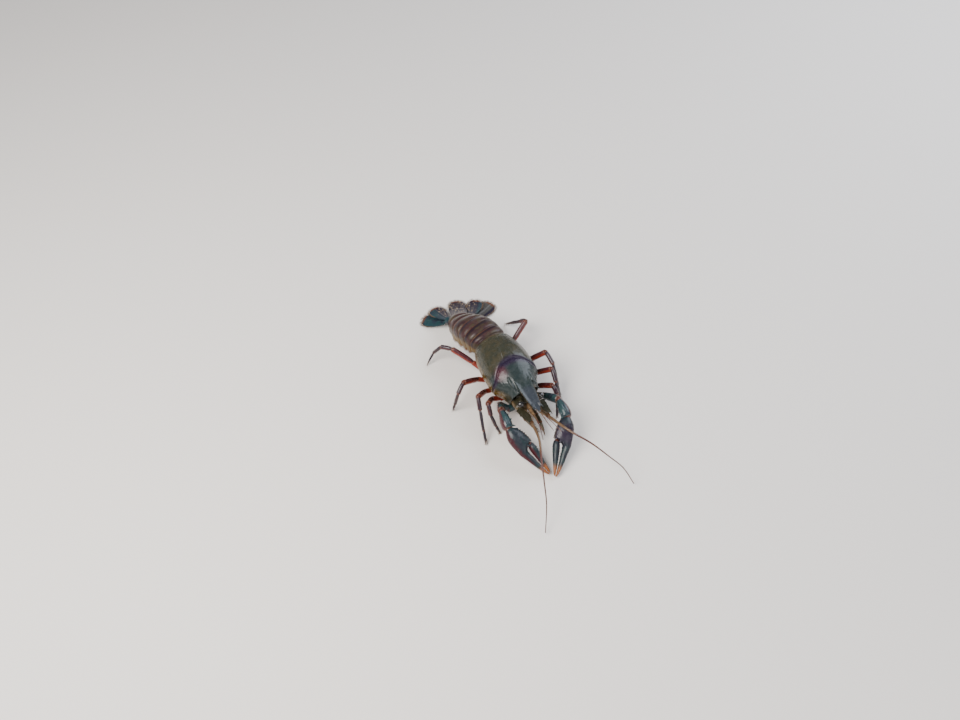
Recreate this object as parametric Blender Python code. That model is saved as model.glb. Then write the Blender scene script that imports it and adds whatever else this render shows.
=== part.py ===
"""A crayfish, life size, standing on eight walking legs with both claws lowered in front.

The head points to -Y and the tail fan to +Y. Every piece is drawn in millimetres in the
animal's own frame (x = 0 on its midline, y = 0 at the cervical groove, z = 0 on the ground),
and the last step turns millimetres into metres and centres the whole on its footprint.
"""

import math

import bmesh
import bpy
from mathutils import Matrix, Vector

# General sizes, in millimetres
MM = 0.001
GAP = 0.3                      # air left between neighbouring pieces
MERGE = 1e-4

# Carapace
CARAPACE_REAR = 15.5
CARAPACE_FRONT = -14.6
CARAPACE_FLOOR = 7.0           # height of its flat underside
FRONT_LEAN = 0.28              # the front margin leans forward by this much for each mm up
FRONT_LEVEL = 14.0
GROOVE_Y = 0.0
GROOVE_HALF = 0.15
GROOVE_DEPTH = 0.8
GROOVE_SWEEP = 7.5             # how far forward the groove runs on the flanks
RIM_DIP = 0.5                  # how far the front and rear rims are drawn in
CARAPACE_WIDTH = [(-14.6, 6.9), (-10, 8.5), (-5, 10.0), (0, 11.1), (7, 11.3), (12, 10.3), (15.5, 8.7)]
CARAPACE_TOP = [(-14.6, 21.7), (-10, 22.6), (-5, 23.4), (0, 24.0), (8, 23.5), (15.5, 21.4)]

# Rostrum: place along the body, half width, height of its margins, depth
ROSTRUM = [
    (-9.5, 3.3, 22.6, 2.4),
    (-14.0, 3.4, 22.3, 2.2),
    (-17.5, 3.2, 21.7, 1.8),
    (-22.0, 2.6, 20.9, 1.5),
    (-25.2, 1.9, 20.4, 1.2),
    (-26.4, 1.0, 20.1, 0.9),
    (-28.1, 0.25, 19.6, 0.5),
]
ROSTRUM_TROUGH = 0.55

# Spines of one side of the carapace: base, tip, radius at the base
CARAPACE_SPINES = [
    ((1.5, -23.8, 20.1), (2.1, -26.9, 20.6), 0.55),
    ((4.6, -9.4, 21.0), (4.7, -15.9, 21.3), 0.75),
    ((8.7, -5.2, 15.2), (10.3, -7.4, 15.6), 0.6),
    ((8.3, -6.6, 12.2), (9.8, -8.6, 12.4), 0.5),
    ((5.9, -13.2, 16.6), (6.7, -16.4, 16.9), 0.55),
]

# Underside of the thorax, where the legs are rooted: y, half width, lowest point
STERNUM_HALF = 4.2
STERNUM_TOP = CARAPACE_FLOOR - GAP
STERNUM_SECTIONS = [
    (-15.3, 3.2, 4.6), (-14.4, STERNUM_HALF, 4.1), (-4, STERNUM_HALF, 3.9),
    (6, STERNUM_HALF, 3.9), (12.6, STERNUM_HALF, 4.2), (14.6, 3.0, 5.0),
]

# Head block under the rostrum: outline of its section, and its size from rear to front
FACE_FRONT = -18.6
FACE_LEVEL = 13.0
FACE_OUTLINE = [(0, 8.6), (3.6, 8.6), (5.7, 9.8), (5.9, 12.4), (4.4, 14.6), (3.4, 16.2), (0, 16.6)]
FACE_TAPER = [(0, 1.04), (0.7, 1.0), (1, 0.93)]
EYE_CENTRE = (4.9, -20.1, 17.7)
EYE_RADIUS = 1.5
STALK_ROOT = (2.6, 15.0)
STALK_RADIUS = 0.85

# Abdomen joints: x, y, height of the back, half width, depth of the body, reach of the side flaps
ABDOMEN_JOINTS = [
    (-0.5, 15.8, 20.7, 7.4, 6.8, 7.6),
    (-1.2, 19.5, 20.9, 8.0, 6.8, 8.4),
    (-2.3, 24.4, 20.3, 8.2, 6.6, 9.0),
    (-3.4, 29.1, 18.7, 8.0, 6.3, 8.6),
    (-4.1, 33.4, 16.3, 7.6, 5.9, 8.2),
    (-4.1, 37.2, 13.4, 6.9, 5.4, 7.4),
    (-3.6, 41.0, 10.3, 6.0, 4.6, 5.2),
]
JOINT_PITCH = [0, 3, 13, 25, 34, 38, 38]       # downward tilt of the tail's axis at each joint
JOINT_TURN = [0, -8, -11, -9, -2, 7, 16]        # its turn towards the animal's left
FLAP_REACH = [1.2, 2.6, 2.6, 2.6, 2.4, 0.8]    # how far each flap hangs below its joints
# Along one segment: share of its length, swelling of the ring, share of the flap's reach
SEGMENT_SHAPE = [(0, -0.35, 0.0), (0.22, 0.1, 0.75), (0.55, 0.2, 1.0), (0.85, 0.15, 0.7), (1, -0.1, 0.1)]
SEGMENT_CROWN = 0.25
ARCH_ANGLES = (0, 22, 44, 64, 82)
ARCH_DROP = 4.6                # fall of the back from its ridge to its sides
SWIMMERET_SEGMENTS = (1, 2, 3, 4)
SWIMMERET_SUNK = 1.2
SWIMMERETS = [(-0.7, 5.0), (0.8, 5.6)]         # spread and length of the two branches
SWIMMERET_SIZES = [(0.5, 0.4), (0.6, 0.4), (0.3, 0.28)]

# Tail fan: middle plate, then each side blade's heading from the tail's own axis, length, half width
TAIL_TURN = 20                 # the fan points to the animal's left
TELSON_ROOT = (-3.6, 40.75, 8.85)
TELSON_LENGTH = 15.2
TELSON_WIDTH = [(0, 3.4), (0.15, 3.9), (0.6, 4.3), (0.66, 3.9), (0.85, 3.5), (0.95, 2.6), (1, 1.4)]
TELSON_TEETH = [(3.95, 7), (3.2, 7)]           # distance from the middle, row of the plate
CARRIER_ROOT = (4.1, 3.3)      # beside and below the last joint
CARRIER_TURN = 42
CARRIER_LENGTH = 2.1
CARRIER_SIZES = [(1.5, 1.2), (1.7, 1.2), (1.5, 0.95)]
FAN_BLADES = [
    ("uropod_inner_l", 16, 14.0, 3.4),
    ("uropod_inner_r", -26, 13.0, 3.4),
    ("uropod_outer_l", 43, 15.0, 3.8),
    ("uropod_outer_r", -58, 12.2, 3.7),
]
# Distance from the carrying piece, rise at the root, height of the tip, bend of the fall
BLADE_LEVELS = {"inner": (0.75, 0.4, 1.1, 1.3), "outer": (1.35, -2.15, 0.35, 1.5)}
BLADE_SHAPE = [(0, 0.34), (0.2, 0.62), (0.5, 0.93), (0.72, 1.0), (0.88, 0.86), (0.96, 0.58), (1, 0.28)]

# Walking legs: hip, knee chain and foot. The upper half ends at the third point.
LEGS = {
    "leg_2_l": [(-7.0, 5.0), (9.9, -8.9, 7.0), (14.1, -15.0, 12.4), (14.3, -18.4, 10.0), (11.9, -24.2, 0)],
    "leg_3_l": [(-1.3, 5.0), (11.8, -2.6, 7.4), (17.4, -8.1, 14.0), (16.7, -13.2, 11.0), (15.3, -21.3, 0)],
    "leg_4_l": [(4.4, 5.0), (12.6, 4.6, 7.4), (19.2, 0.6, 15.0), (19.5, -5.4, 13.0), (18.2, -16.3, 0)],
    "leg_5_l": [(10.0, 5.0), (11.7, 17.4, 7.4), (20.4, 21.1, 13.0), (19.5, 24.0, 10.0), (15.8, 32.2, 0)],
    "leg_2_r": [(-6.2, 5.0), (11.2, -5.7, 7.0), (16.1, -11.3, 14.0), (16.3, -14.2, 9.4), (14.6, -19.8, 0)],
    "leg_3_r": [(-0.9, 5.0), (12.2, -1.0, 7.2), (18.6, -6.7, 15.0), (19.7, -10.8, 11.0), (22.6, -22.0, 0)],
    "leg_4_r": [(4.5, 5.0), (12.2, 6.3, 7.2), (20.8, 3.3, 14.0), (24.4, 1.0, 11.0), (27.5, 0.3, 0)],
    "leg_5_r": [(10.0, 5.0), (9.8, 15.4, 7.2), (16.0, 23.8, 11.0), (19.6, 27.8, 10.0), (27.2, 27.6, 0)],
}
LEG_BEND = {"leg_5_r": (22.6, 29.7, 5.0)}
HIP_REACH = 2.6                # length of the level hip piece
LEG_RADIUS = 1.28
PINCER_LEGS = ("leg_2", "leg_3")
# Rows of (share of the length, share of the leg's radius)
HIP_SHAPE = [(0.25, 0.9), (0.8, 0.94), (1.0, 0.78)]
THIGH_SHAPE = [(0.14, 1.1), (0.45, 1.38), (0.88, 1.16), (1.0, 0.76)]
SHIN_SHAPE = [(0, 0.76), (0.75, 1.05), (1.0, 0.82)]
HAND_SHAPE = [(0.15, 0.86), (0.6, 0.78), (1.0, 0.58)]
TOE_SHAPE = [(0.12, 0.56), (0.6, 0.42), (1.0, 0.22)]
FOOT_SHAPE = [(0.12, 0.82), (0.4, 0.78), (0.62, 0.62), (0.68, 0.56), (0.88, 0.4), (1.0, 0.22)]

# Claw arms: root y and z, turn, elbow, wrist, claw tip. x is the distance from the midline.
ARMS = {
    "l": [(-13.2, 5.0), (8.9, -14.2, 7.6), (12.2, -23.4, 13.8), (11.4, -32.4, 12.5), (-3.4, -49.2, 2.0)],
    "r": [(-12.6, 5.0), (9.7, -10.0, 7.3), (12.6, -17.2, 14.0), (14.0, -26.0, 12.6), (4.9, -48.7, 1.25)],
}
ARM_RADIUS = 1.72
ARM_HIP_REACH = 2.2
# Rows of (share of the length, share of the arm's radius)
ARM_ROOT_SHAPE = [(0.3, 1.0), (0.6, 1.0), (1.0, 0.75)]
ARM_UPPER_SHAPE = [(0, 0.75), (0.22, 0.95), (0.6, 1.22), (0.84, 1.2), (1.0, 0.8)]
WRIST_SHAPE = [(0, 0.8), (0.24, 1.2), (0.6, 1.6), (0.84, 1.48), (1.0, 0.82)]

# Claws. Rows of (y, x of the centre, half width, half depth, slant) in shares of the claw's
# half width and depth; y is in millimetres.
CLAW_HALF = 4.05
CLAW_DEPTH = 2.7
CLAW_ROLL = {"l": -12, "r": 12}
PALM_LENGTH = 10.6
PALM_STATIONS = [
    (0, 0, 0.38, 0.52, 0),
    (1.3, 0, 0.62, 0.80, 0),
    (3.4, 0, 0.88, 0.98, 0),
    (6.6, 0, 0.99, 1.0, 0),
    (9.7, 0, 1.0, 0.92, 0),
    (10.9, 0.20, 0.80, 0.80, 0.30),
    (12.2, 0.50, 0.46, 0.66, 0.12),
    (15.6, 0.46, 0.34, 0.50, 0),
    (20.1, 0.35, 0.25, 0.38, 0),
    (23.8, 0.22, 0.14, 0.26, 0),
    (25.8, 0.15, 0.08, 0.13, 0),
]
FINGER_CLEAR = 0.72            # air between the palm and the root of the hinged finger
FINGER_STATIONS = [
    (0, -0.58, 0.38, 0.55, 0.30),
    (1.6, -0.57, 0.40, 0.62, 0.10),
    (5.0, -0.44, 0.34, 0.50, 0),
    (9.0, -0.27, 0.25, 0.38, 0),
    (12.4, -0.15, 0.14, 0.26, 0),
    (14.1, -0.09, 0.07, 0.12, 0),
]
PALM_BUMPS = 7
PALM_TEETH = 4
FINGER_BUMPS = 4
TOOTH_STEP = 1.8

# Feelers: root (x, z) on the head block, then steps from it with the radius there
ANTENNA_ROOT = (4.0, 11.3)
ANTENNA_BASE = [
    ((0, 0, 0), 1.65),
    ((0.3, -1.8, 0.3), 1.72),
    ((0.5, -4.2, 0.8), 1.5),
    ((0.4, -4.7, 0.9), 1.3),
    ((0.2, -7.2, 1.8), 1.32),
]
ANTENNA = {
    "l": [(4.0, -28.6, 14.0), (7.6, -40.4, 16.3), (13.0, -49.1, 15.0), (17.9, -56.3, 11.0),
          (22.0, -61.8, 6.6), (23.8, -68.3, 1.9)],
    "r": [(4.0, -28.6, 14.0), (5.6, -37.5, 15.6), (9.4, -46.4, 15.2), (12.6, -54.4, 13.0),
          (15.6, -62.4, 8.0), (20.6, -71.0, 1.7)],
}
ANTENNA_THICK = (0.75, 0.27)
ANTENNA_STEPS = 26
ANTENNULE_ROOT = (1.15, 13.4)
ANTENNULE_STEM = [
    ((0, 0, 0), 0.85),
    ((0.15, -2.4, 0.5), 0.9),
    ((0.35, -4.9, 1.1), 0.75),
    ((0.45, -7.0, 1.7), 0.55),
]
ANTENNULE_LASHES = [(2.8, 1.8, 13.0), (0.5, -0.6, 10.5)]     # spread, rise, length
SCALE_START = (1.9, -1.2, 2.35)
SCALE_END = (0.7, -9.6, 4.35)
SCALE_SHAPE = [(0, 0.6), (0.3, 0.95), (0.6, 1.0), (0.85, 0.75), (1, 0.25)]
SCALE_INNER = 2.2
SCALE_OUTER = 1.15

# Outer mouthparts: place and radius
MAXILLIPED = [
    ((2.0, -15.6, 5.4), 1.1),
    ((2.4, -17.6, 5.5), 1.3),
    ((2.7, -21.4, 5.8), 1.22),
    ((2.6, -22.1, 6.0), 0.95),
    ((2.1, -26.0, 7.0), 1.0),
    ((1.9, -26.7, 7.0), 0.75),
    ((1.4, -30.2, 5.2), 0.6),
    ((1.2, -31.6, 4.2), 0.25),
]

# Colours seen on the wet animal: base colour, roughness
COLOURS = {
    "carapace": ((0.055, 0.050, 0.030), 0.30),
    "abdomen": ((0.075, 0.035, 0.030), 0.30),
    "fan": ((0.020, 0.045, 0.060), 0.30),
    "claw": ((0.012, 0.045, 0.065), 0.25),
    "arm": ((0.030, 0.060, 0.070), 0.28),
    "leg": ((0.150, 0.022, 0.016), 0.32),
    "feeler": ((0.110, 0.035, 0.022), 0.40),
    "pale": ((0.330, 0.220, 0.110), 0.40),
    "eye": ((0.004, 0.004, 0.005), 0.08),
}


def clear_scene():
    """Empties the scene so that only this model is in it."""
    for leftover in list(bpy.data.objects):
        bpy.data.objects.remove(leftover)


def make_collection(name):
    """A collection linked to the scene."""
    collection = bpy.data.collections.new(name)
    bpy.context.scene.collection.children.link(collection)
    return collection


def make_material(name):
    """A Principled material with the colour and roughness of one kind of shell."""
    colour, roughness = COLOURS[name]
    material = bpy.data.materials.new(name)
    material.use_nodes = True
    shader = material.node_tree.nodes["Principled BSDF"]
    shader.inputs["Base Color"].default_value = (*colour, 1)
    shader.inputs["Roughness"].default_value = roughness
    shader.inputs["Metallic"].default_value = 0
    return material


def read_along(table, place):
    """Smooth value at a place in a table of (place, value) rows: a Catmull-Rom spline."""
    rows = sorted(table)
    place = min(max(place, rows[0][0]), rows[-1][0])
    index = 0
    while index < len(rows) - 2 and place > rows[index + 1][0]:
        index += 1
    (x0, y0), (x1, y1) = rows[index], rows[index + 1]
    before = rows[max(index - 1, 0)]
    after = rows[min(index + 2, len(rows) - 1)]
    slope0 = (y1 - before[1]) / (x1 - before[0])
    slope1 = (after[1] - y0) / (after[0] - x0)
    span = x1 - x0
    t = (place - x0) / span
    return (
        (2 * t**3 - 3 * t**2 + 1) * y0
        + (t**3 - 2 * t**2 + t) * span * slope0
        + (3 * t**2 - 2 * t**3) * y1
        + (t**3 - t**2) * span * slope1
    )


def smooth_path(points, steps):
    """Points spread along a smooth curve through the given ones."""
    spots = [Vector(p) for p in points]
    lengths = [0.0]
    for a, b in zip(spots, spots[1:]):
        lengths.append(lengths[-1] + (b - a).length)
    tables = [[(s, p[axis]) for s, p in zip(lengths, spots)] for axis in range(3)]
    path = []
    for step in range(steps + 1):
        place = lengths[-1] * step / steps
        path.append(Vector([read_along(table, place) for table in tables]))
    return path


def mirrored(point, side):
    """The point on the animal's left (side 1) or right (side -1)."""
    return Vector((point[0] * side, point[1], point[2]))


def side_of(name):
    """1 for a piece of the left side, -1 for one of the right."""
    return 1 if name.endswith("_l") else -1


def mesh_object(name, form, colour, collection):
    """Closes the work on a mesh: outward faces, triangles, one object."""
    bmesh.ops.remove_doubles(form, verts=form.verts, dist=MERGE)
    bmesh.ops.recalc_face_normals(form, faces=form.faces)
    bmesh.ops.triangulate(form, faces=form.faces)
    mesh = bpy.data.meshes.new(name)
    form.to_mesh(mesh)
    form.free()
    mesh.materials.append(MATERIALS[colour])
    obj = bpy.data.objects.new(name, mesh)
    collection.objects.link(obj)
    return obj


def skin_rings(rings):
    """A closed form over rings with equal point counts, with a flat cap at each end."""
    form = bmesh.new()
    rows = [[form.verts.new(point) for point in ring] for ring in rings]
    count = len(rows[0])
    for low, high in zip(rows, rows[1:]):
        for k in range(count):
            n = (k + 1) % count
            form.faces.new((low[k], low[n], high[n], high[k]))
    form.faces.new(rows[0])
    form.faces.new(rows[-1])
    return form


def oval_ring(centre, across, up, half_width, half_height, sides):
    """Points of an ellipse round a centre."""
    ring = []
    for k in range(sides):
        angle = 2 * math.pi * k / sides
        ring.append(centre + across * (half_width * math.cos(angle)) + up * (half_height * math.sin(angle)))
    return ring


def limb_rings(path, sizes, sides, up=(0, 0, 1), first=None, last=None):
    """Ellipses set square to a path; first and last turn the end rings to a joint's plane."""
    spots = [Vector(p) for p in path]
    lifted = Vector(up)
    rings = []
    for index, (spot, (half_width, half_height)) in enumerate(zip(spots, sizes)):
        behind = spots[max(index - 1, 0)]
        ahead = spots[min(index + 1, len(spots) - 1)]
        arriving = (spot - behind).normalized() if index else (ahead - spot).normalized()
        leaving = (ahead - spot).normalized() if index < len(spots) - 1 else arriving
        along = (arriving + leaving).normalized()
        if index == 0 and first is not None:
            along = Vector(first).normalized()
        if index == len(spots) - 1 and last is not None:
            along = Vector(last).normalized()
        lifted = (lifted - along * lifted.dot(along)).normalized()
        across = along.cross(lifted)
        rings.append(oval_ring(spot, across, lifted, half_width, half_height, sides))
    return rings


def spine(base, tip, radius, sides=6):
    """A small pointed cone from base to tip."""
    base, tip = Vector(base), Vector(tip)
    form = bmesh.new()
    turn = (tip - base).to_track_quat("Z", "Y").to_matrix().to_4x4()
    place = Matrix.Translation((base + tip) / 2) @ turn
    bmesh.ops.create_cone(
        form, cap_ends=True, segments=sides, radius1=radius, radius2=radius * 0.12,
        depth=(tip - base).length, matrix=place,
    )
    return form


def keep_largest(obj):
    """Keeps only the largest closed surface of a mesh."""
    form = bmesh.new()
    form.from_mesh(obj.data)
    left = set(form.faces)
    groups = []
    while left:
        front = [left.pop()]
        group = list(front)
        while front:
            face = front.pop()
            near = [f for edge in face.edges for f in edge.link_faces if f in left]
            for other in near:
                if other in left:
                    left.remove(other)
                    front.append(other)
                    group.append(other)
        groups.append(group)
    groups.sort(key=lambda faces: -sum(face.calc_area() for face in faces))
    for group in groups[1:]:
        bmesh.ops.delete(form, geom=group, context="FACES")
    loose = [v for v in form.verts if not v.link_faces]
    bmesh.ops.delete(form, geom=loose, context="VERTS")
    bmesh.ops.triangulate(form, faces=form.faces)
    form.to_mesh(obj.data)
    form.free()


def fuse(obj, forms):
    """Joins small closed forms to an object in one Boolean union."""
    extras = make_collection(obj.name + "_extras")
    for number, form in enumerate(forms):
        mesh_object(f"{obj.name}_extra_{number}", form, "pale", extras)
    union = obj.modifiers.new("join", "BOOLEAN")
    union.operation = "UNION"
    union.operand_type = "COLLECTION"
    union.collection = extras
    union.solver = "EXACT"
    bpy.context.view_layer.objects.active = obj
    bpy.ops.object.modifier_apply(modifier=union.name)
    for extra in list(extras.objects):
        bpy.data.objects.remove(extra)
    bpy.data.collections.remove(extras)
    keep_largest(obj)
    return obj


def carapace_ring(place, dip=0.0, sides=26):
    """One section of the carapace: an arch with a flat floor, swept forward on the flanks."""
    half = read_along(CARAPACE_WIDTH, place) - dip * 0.7
    top = read_along(CARAPACE_TOP, place) - dip
    middle = CARAPACE_FLOOR + 0.40 * (top - CARAPACE_FLOOR)
    behind = max(0.0, 1 - abs(place - GROOVE_Y - 2) / 12)
    sweep = GROOVE_SWEEP * behind
    lean_share = min(1.0, max(0.0, (place - 2) / (CARAPACE_FRONT - 2)))
    ring = []
    for k in range(sides):
        angle = 2 * math.pi * k / sides
        across = math.sin(angle)
        rise = math.cos(angle)
        if rise >= 0:
            z = middle + (top - middle) * rise**0.9
        else:
            z = max(CARAPACE_FLOOR, middle + (middle - CARAPACE_FLOOR) * 1.45 * rise)
        x = half * math.copysign(abs(across) ** 0.88, across)
        flank = min(1.0, abs(across) * 1.1)
        y = place - sweep * flank**2 - lean_share * FRONT_LEAN * (z - FRONT_LEVEL)
        ring.append(Vector((x, y, z)))
    return ring


def rostrum_form():
    """The beak over the eyes: a shallow trough between two raised margins."""
    rings = []
    for y, half, top, depth in ROSTRUM:
        rings.append([
            Vector((-half, y, top)),
            Vector((-half * 0.62, y, top - ROSTRUM_TROUGH * half / 3.3)),
            Vector((0, y, top - 0.8 * ROSTRUM_TROUGH * half / 3.3)),
            Vector((half * 0.62, y, top - ROSTRUM_TROUGH * half / 3.3)),
            Vector((half, y, top)),
            Vector((half * 0.93, y, top - depth * 0.55)),
            Vector((0, y, top - depth)),
            Vector((-half * 0.93, y, top - depth * 0.55)),
        ])
    return skin_rings(rings)


def make_carapace():
    """The one-piece shell of head and thorax, with beak, groove and spines."""
    groove = [GROOVE_Y + step for step in (1.0, GROOVE_HALF, -GROOVE_HALF, -1.0)]
    rear = [CARAPACE_REAR - step for step in (0, 0.7, 2.6, 5.5, 8.5, 11.5, 13.5)]
    front = [CARAPACE_FRONT + step for step in (11.5, 9.0, 6.5, 4.2, 2.0, 0.5, 0)]
    dips = {CARAPACE_REAR: RIM_DIP, CARAPACE_FRONT: RIM_DIP}
    dips[GROOVE_Y - GROOVE_HALF] = GROOVE_DEPTH
    dips[GROOVE_Y + GROOVE_HALF] = GROOVE_DEPTH
    rings = [carapace_ring(place, dips.get(place, 0.0)) for place in rear + groove + front]
    shell = mesh_object("carapace", skin_rings(rings), "carapace", MODEL)
    forms = [rostrum_form()]
    for side in (-1, 1):
        for base, tip, radius in CARAPACE_SPINES:
            forms.append(spine(mirrored(base, side), mirrored(tip, side), radius))
    return fuse(shell, forms)


def make_thorax():
    """The narrow underside of the thorax between the legs."""
    rings = []
    for y, half, low in STERNUM_SECTIONS:
        rings.append([
            Vector((-half, y, STERNUM_TOP)), Vector((half, y, STERNUM_TOP)),
            Vector((half, y, low + 0.5)), Vector((half * 0.6, y, low)), Vector((0, y, low + 0.35)),
            Vector((-half * 0.6, y, low)), Vector((-half, y, low + 0.5)),
        ])
    return mesh_object("thorax_underside", skin_rings(rings), "pale", MODEL)


def face_plane(z, offset=0.0):
    """y of the head block's front face at a height."""
    return FACE_FRONT - FRONT_LEAN * (z - FACE_LEVEL) - offset


def make_face():
    """The block under the beak that carries eyes and feelers."""
    wide = FACE_OUTLINE + [(-x, z) for x, z in reversed(FACE_OUTLINE[1:-1])]
    rear_gap = GAP * math.hypot(1, FRONT_LEAN)
    rings = []
    for share, size in FACE_TAPER:
        ring = []
        for x, z in wide:
            height = FACE_LEVEL + (z - FACE_LEVEL) * size
            rear = CARAPACE_FRONT - rear_gap - FRONT_LEAN * (height - FRONT_LEVEL)
            ring.append(Vector((x * size, rear + (face_plane(height) - rear) * share, height)))
        rings.append(ring)
    return mesh_object("head_front", skin_rings(rings), "pale", MODEL)


def make_eye(side):
    """An eye on its short stalk."""
    name = "eye_l" if side > 0 else "eye_r"
    centre = mirrored(EYE_CENTRE, side)
    out = Vector((0, -1, -FRONT_LEAN)).normalized()
    x, z = STALK_ROOT
    r = STALK_RADIUS
    root = mirrored((x, face_plane(z), z), side) + out * GAP
    path = [root, root + out * 1.0 + Vector((0.5 * side, 0, 0.3)), centre - Vector((0.6 * side, 0, 0.5))]
    stalk = limb_rings(path, [(r, r), (r, r), (1.2 * r, 1.2 * r)], 8, first=out)
    eye = mesh_object(name, skin_rings(stalk), "eye", MODEL)
    ball = bmesh.new()
    place = Matrix.Translation(centre) @ Matrix.Rotation(math.radians(35 * side), 4, "Z")
    bmesh.ops.create_uvsphere(ball, u_segments=12, v_segments=8, radius=EYE_RADIUS,
                              matrix=place @ Matrix.Diagonal((1.0, 0.85, 0.95, 1)))
    return fuse(eye, [ball])


def make_feelers(side):
    """Antenna base, scale and long filament, and the forked antennule."""
    tag = "l" if side > 0 else "r"
    out = Vector((0, -1, -FRONT_LEAN)).normalized()
    x, z = ANTENNA_ROOT
    root = mirrored((x, face_plane(z), z), side) + out * GAP
    end = Vector(mirrored(ANTENNA[tag][0], side))
    first_step = mirrored(ANTENNA[tag][1], side) - end
    heading = ((end - root).normalized() + first_step.normalized()).normalized()
    path = [root + mirrored(step, side) for step, _ in ANTENNA_BASE] + [end - heading * GAP]
    sizes = [(radius, radius) for _, radius in ANTENNA_BASE] + [(1.0, 1.0)]
    rings = limb_rings(path, sizes, 10, first=out, last=heading)
    mesh_object(f"antenna_base_{tag}", skin_rings(rings), "pale", MODEL)
    line = smooth_path([mirrored(p, side) for p in ANTENNA[tag]], ANTENNA_STEPS)
    thick, thin = ANTENNA_THICK
    radii = [thin + (thick - thin) * (1 - i / ANTENNA_STEPS) ** 1.6 for i in range(len(line))]
    mesh_object(f"antenna_{tag}", curve_form(line, radii), "feeler", MODEL)
    make_scale(side, root)
    x, z = ANTENNULE_ROOT
    stem_root = mirrored((x, face_plane(z), z), side) + out * GAP
    stem = [stem_root + mirrored(step, side) for step, _ in ANTENNULE_STEM]
    sizes = [(radius, radius) for _, radius in ANTENNULE_STEM]
    rings = limb_rings(stem, sizes, 8, first=out)
    antennule = mesh_object(f"antennule_{tag}", skin_rings(rings), "feeler", MODEL)
    forms = []
    for spread, lift, length in ANTENNULE_LASHES:
        start = stem[-1] + Vector((0, 0.9, 0))
        mid = start + Vector((spread * 0.35 * side, -length * 0.5, lift))
        tip = start + Vector((spread * side, -length, lift * 0.4))
        forms.append(curve_form(smooth_path([start, mid, tip], 8), [0.36 - 0.012 * i for i in range(9)]))
    fuse(antennule, forms)


def curve_form(points, radii):
    """A round tube along points, made as a bevelled curve and read back as a mesh."""
    data = bpy.data.curves.new("tube", "CURVE")
    data.dimensions = "3D"
    data.bevel_depth = 1.0
    data.bevel_resolution = 1
    data.use_fill_caps = True
    data.render_resolution_u = 0
    spline = data.splines.new("POLY")
    spline.points.add(len(points) - 1)
    for knot, spot, radius in zip(spline.points, points, radii):
        knot.co = (*spot, 1)
        knot.radius = radius
    obj = bpy.data.objects.new("tube", data)
    bpy.context.scene.collection.objects.link(obj)
    seen = obj.evaluated_get(bpy.context.evaluated_depsgraph_get())
    mesh = bpy.data.meshes.new_from_object(seen)
    form = bmesh.new()
    form.from_mesh(mesh)
    bmesh.ops.remove_doubles(form, verts=form.verts, dist=MERGE)
    bpy.data.objects.remove(obj)
    bpy.data.curves.remove(data)
    bpy.data.meshes.remove(mesh)
    return form


def blade_form(line, across, inner, outer, thick, edge, crown, columns=3):
    """A thin leaf along a line, cut into the same triangles on both faces.

    inner and outer are its half widths at each point of the line; the ridge down its
    middle is crown higher than its edges.
    """
    form = bmesh.new()
    top_rows, low_rows = [], []
    for spot, side_axis, wide_in, wide_out in zip(line, across, inner, outer):
        tops, lows = [], []
        for k in range(-columns, columns + 1):
            share = k / columns
            reach = share * (wide_out if k > 0 else wide_in)
            fall = crown * share**2
            half = (thick + (edge - thick) * abs(share)) / 2
            place = spot + side_axis * reach
            high = max(place.z - fall + half, 2 * half)
            tops.append(form.verts.new((place.x, place.y, high)))
            lows.append(form.verts.new((place.x, place.y, max(high - 2 * half, 0.0))))
        top_rows.append(tops)
        low_rows.append(lows)
    for rows in (top_rows, low_rows):
        for a, b in zip(rows, rows[1:]):
            for k in range(2 * columns):
                if k < columns:
                    form.faces.new((a[k], a[k + 1], b[k + 1]))
                    form.faces.new((a[k], b[k + 1], b[k]))
                else:
                    form.faces.new((a[k], a[k + 1], b[k]))
                    form.faces.new((a[k + 1], b[k + 1], b[k]))
    for tops, lows in ((top_rows[0], low_rows[0]), (top_rows[-1], low_rows[-1])):
        for k in range(2 * columns):
            form.faces.new((tops[k], tops[k + 1], lows[k + 1], lows[k]))
    for k in (0, -1):
        for i in range(len(top_rows) - 1):
            form.faces.new((top_rows[i][k], top_rows[i + 1][k], low_rows[i + 1][k], low_rows[i][k]))
    return form


def make_scale(side, root):
    """The flat scale beside the base of the antenna, with its outer spine."""
    tag = "l" if side > 0 else "r"
    rows = 7
    start = root + mirrored(SCALE_START, side)
    end = root + mirrored(SCALE_END, side)
    shape = [read_along(SCALE_SHAPE, i / rows) for i in range(rows + 1)]
    line = [start.lerp(end, i / rows) for i in range(rows + 1)]
    wide = [SCALE_INNER * share for share in shape]
    flank = [SCALE_OUTER * (0.7 + 0.3 * share) for share in shape]
    axis = Vector((side, 0.0, -0.25)).normalized()
    form = blade_form(line, [axis] * len(line), wide, flank, 0.6, 0.5, 0.15, columns=2)
    scale = mesh_object(f"antennal_scale_{tag}", form, "pale", MODEL)
    tip = line[-1] + axis * (SCALE_OUTER * 0.75)
    fuse(scale, [spine(tip + Vector((0, 1.2, 0)), tip + Vector((0, -1.3, 0.1)), 0.4)])


def make_maxilliped(side):
    """The leg-like outer mouthpart, folded forward under the head."""
    tag = "l" if side > 0 else "r"
    path = [mirrored(place, side) for place, _ in MAXILLIPED]
    sizes = [(radius, radius) for _, radius in MAXILLIPED]
    rings = limb_rings(path, sizes, 8, first=(0, -1, 0))
    mesh_object(f"maxilliped_{tag}", skin_rings(rings), "pale", MODEL)


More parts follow.
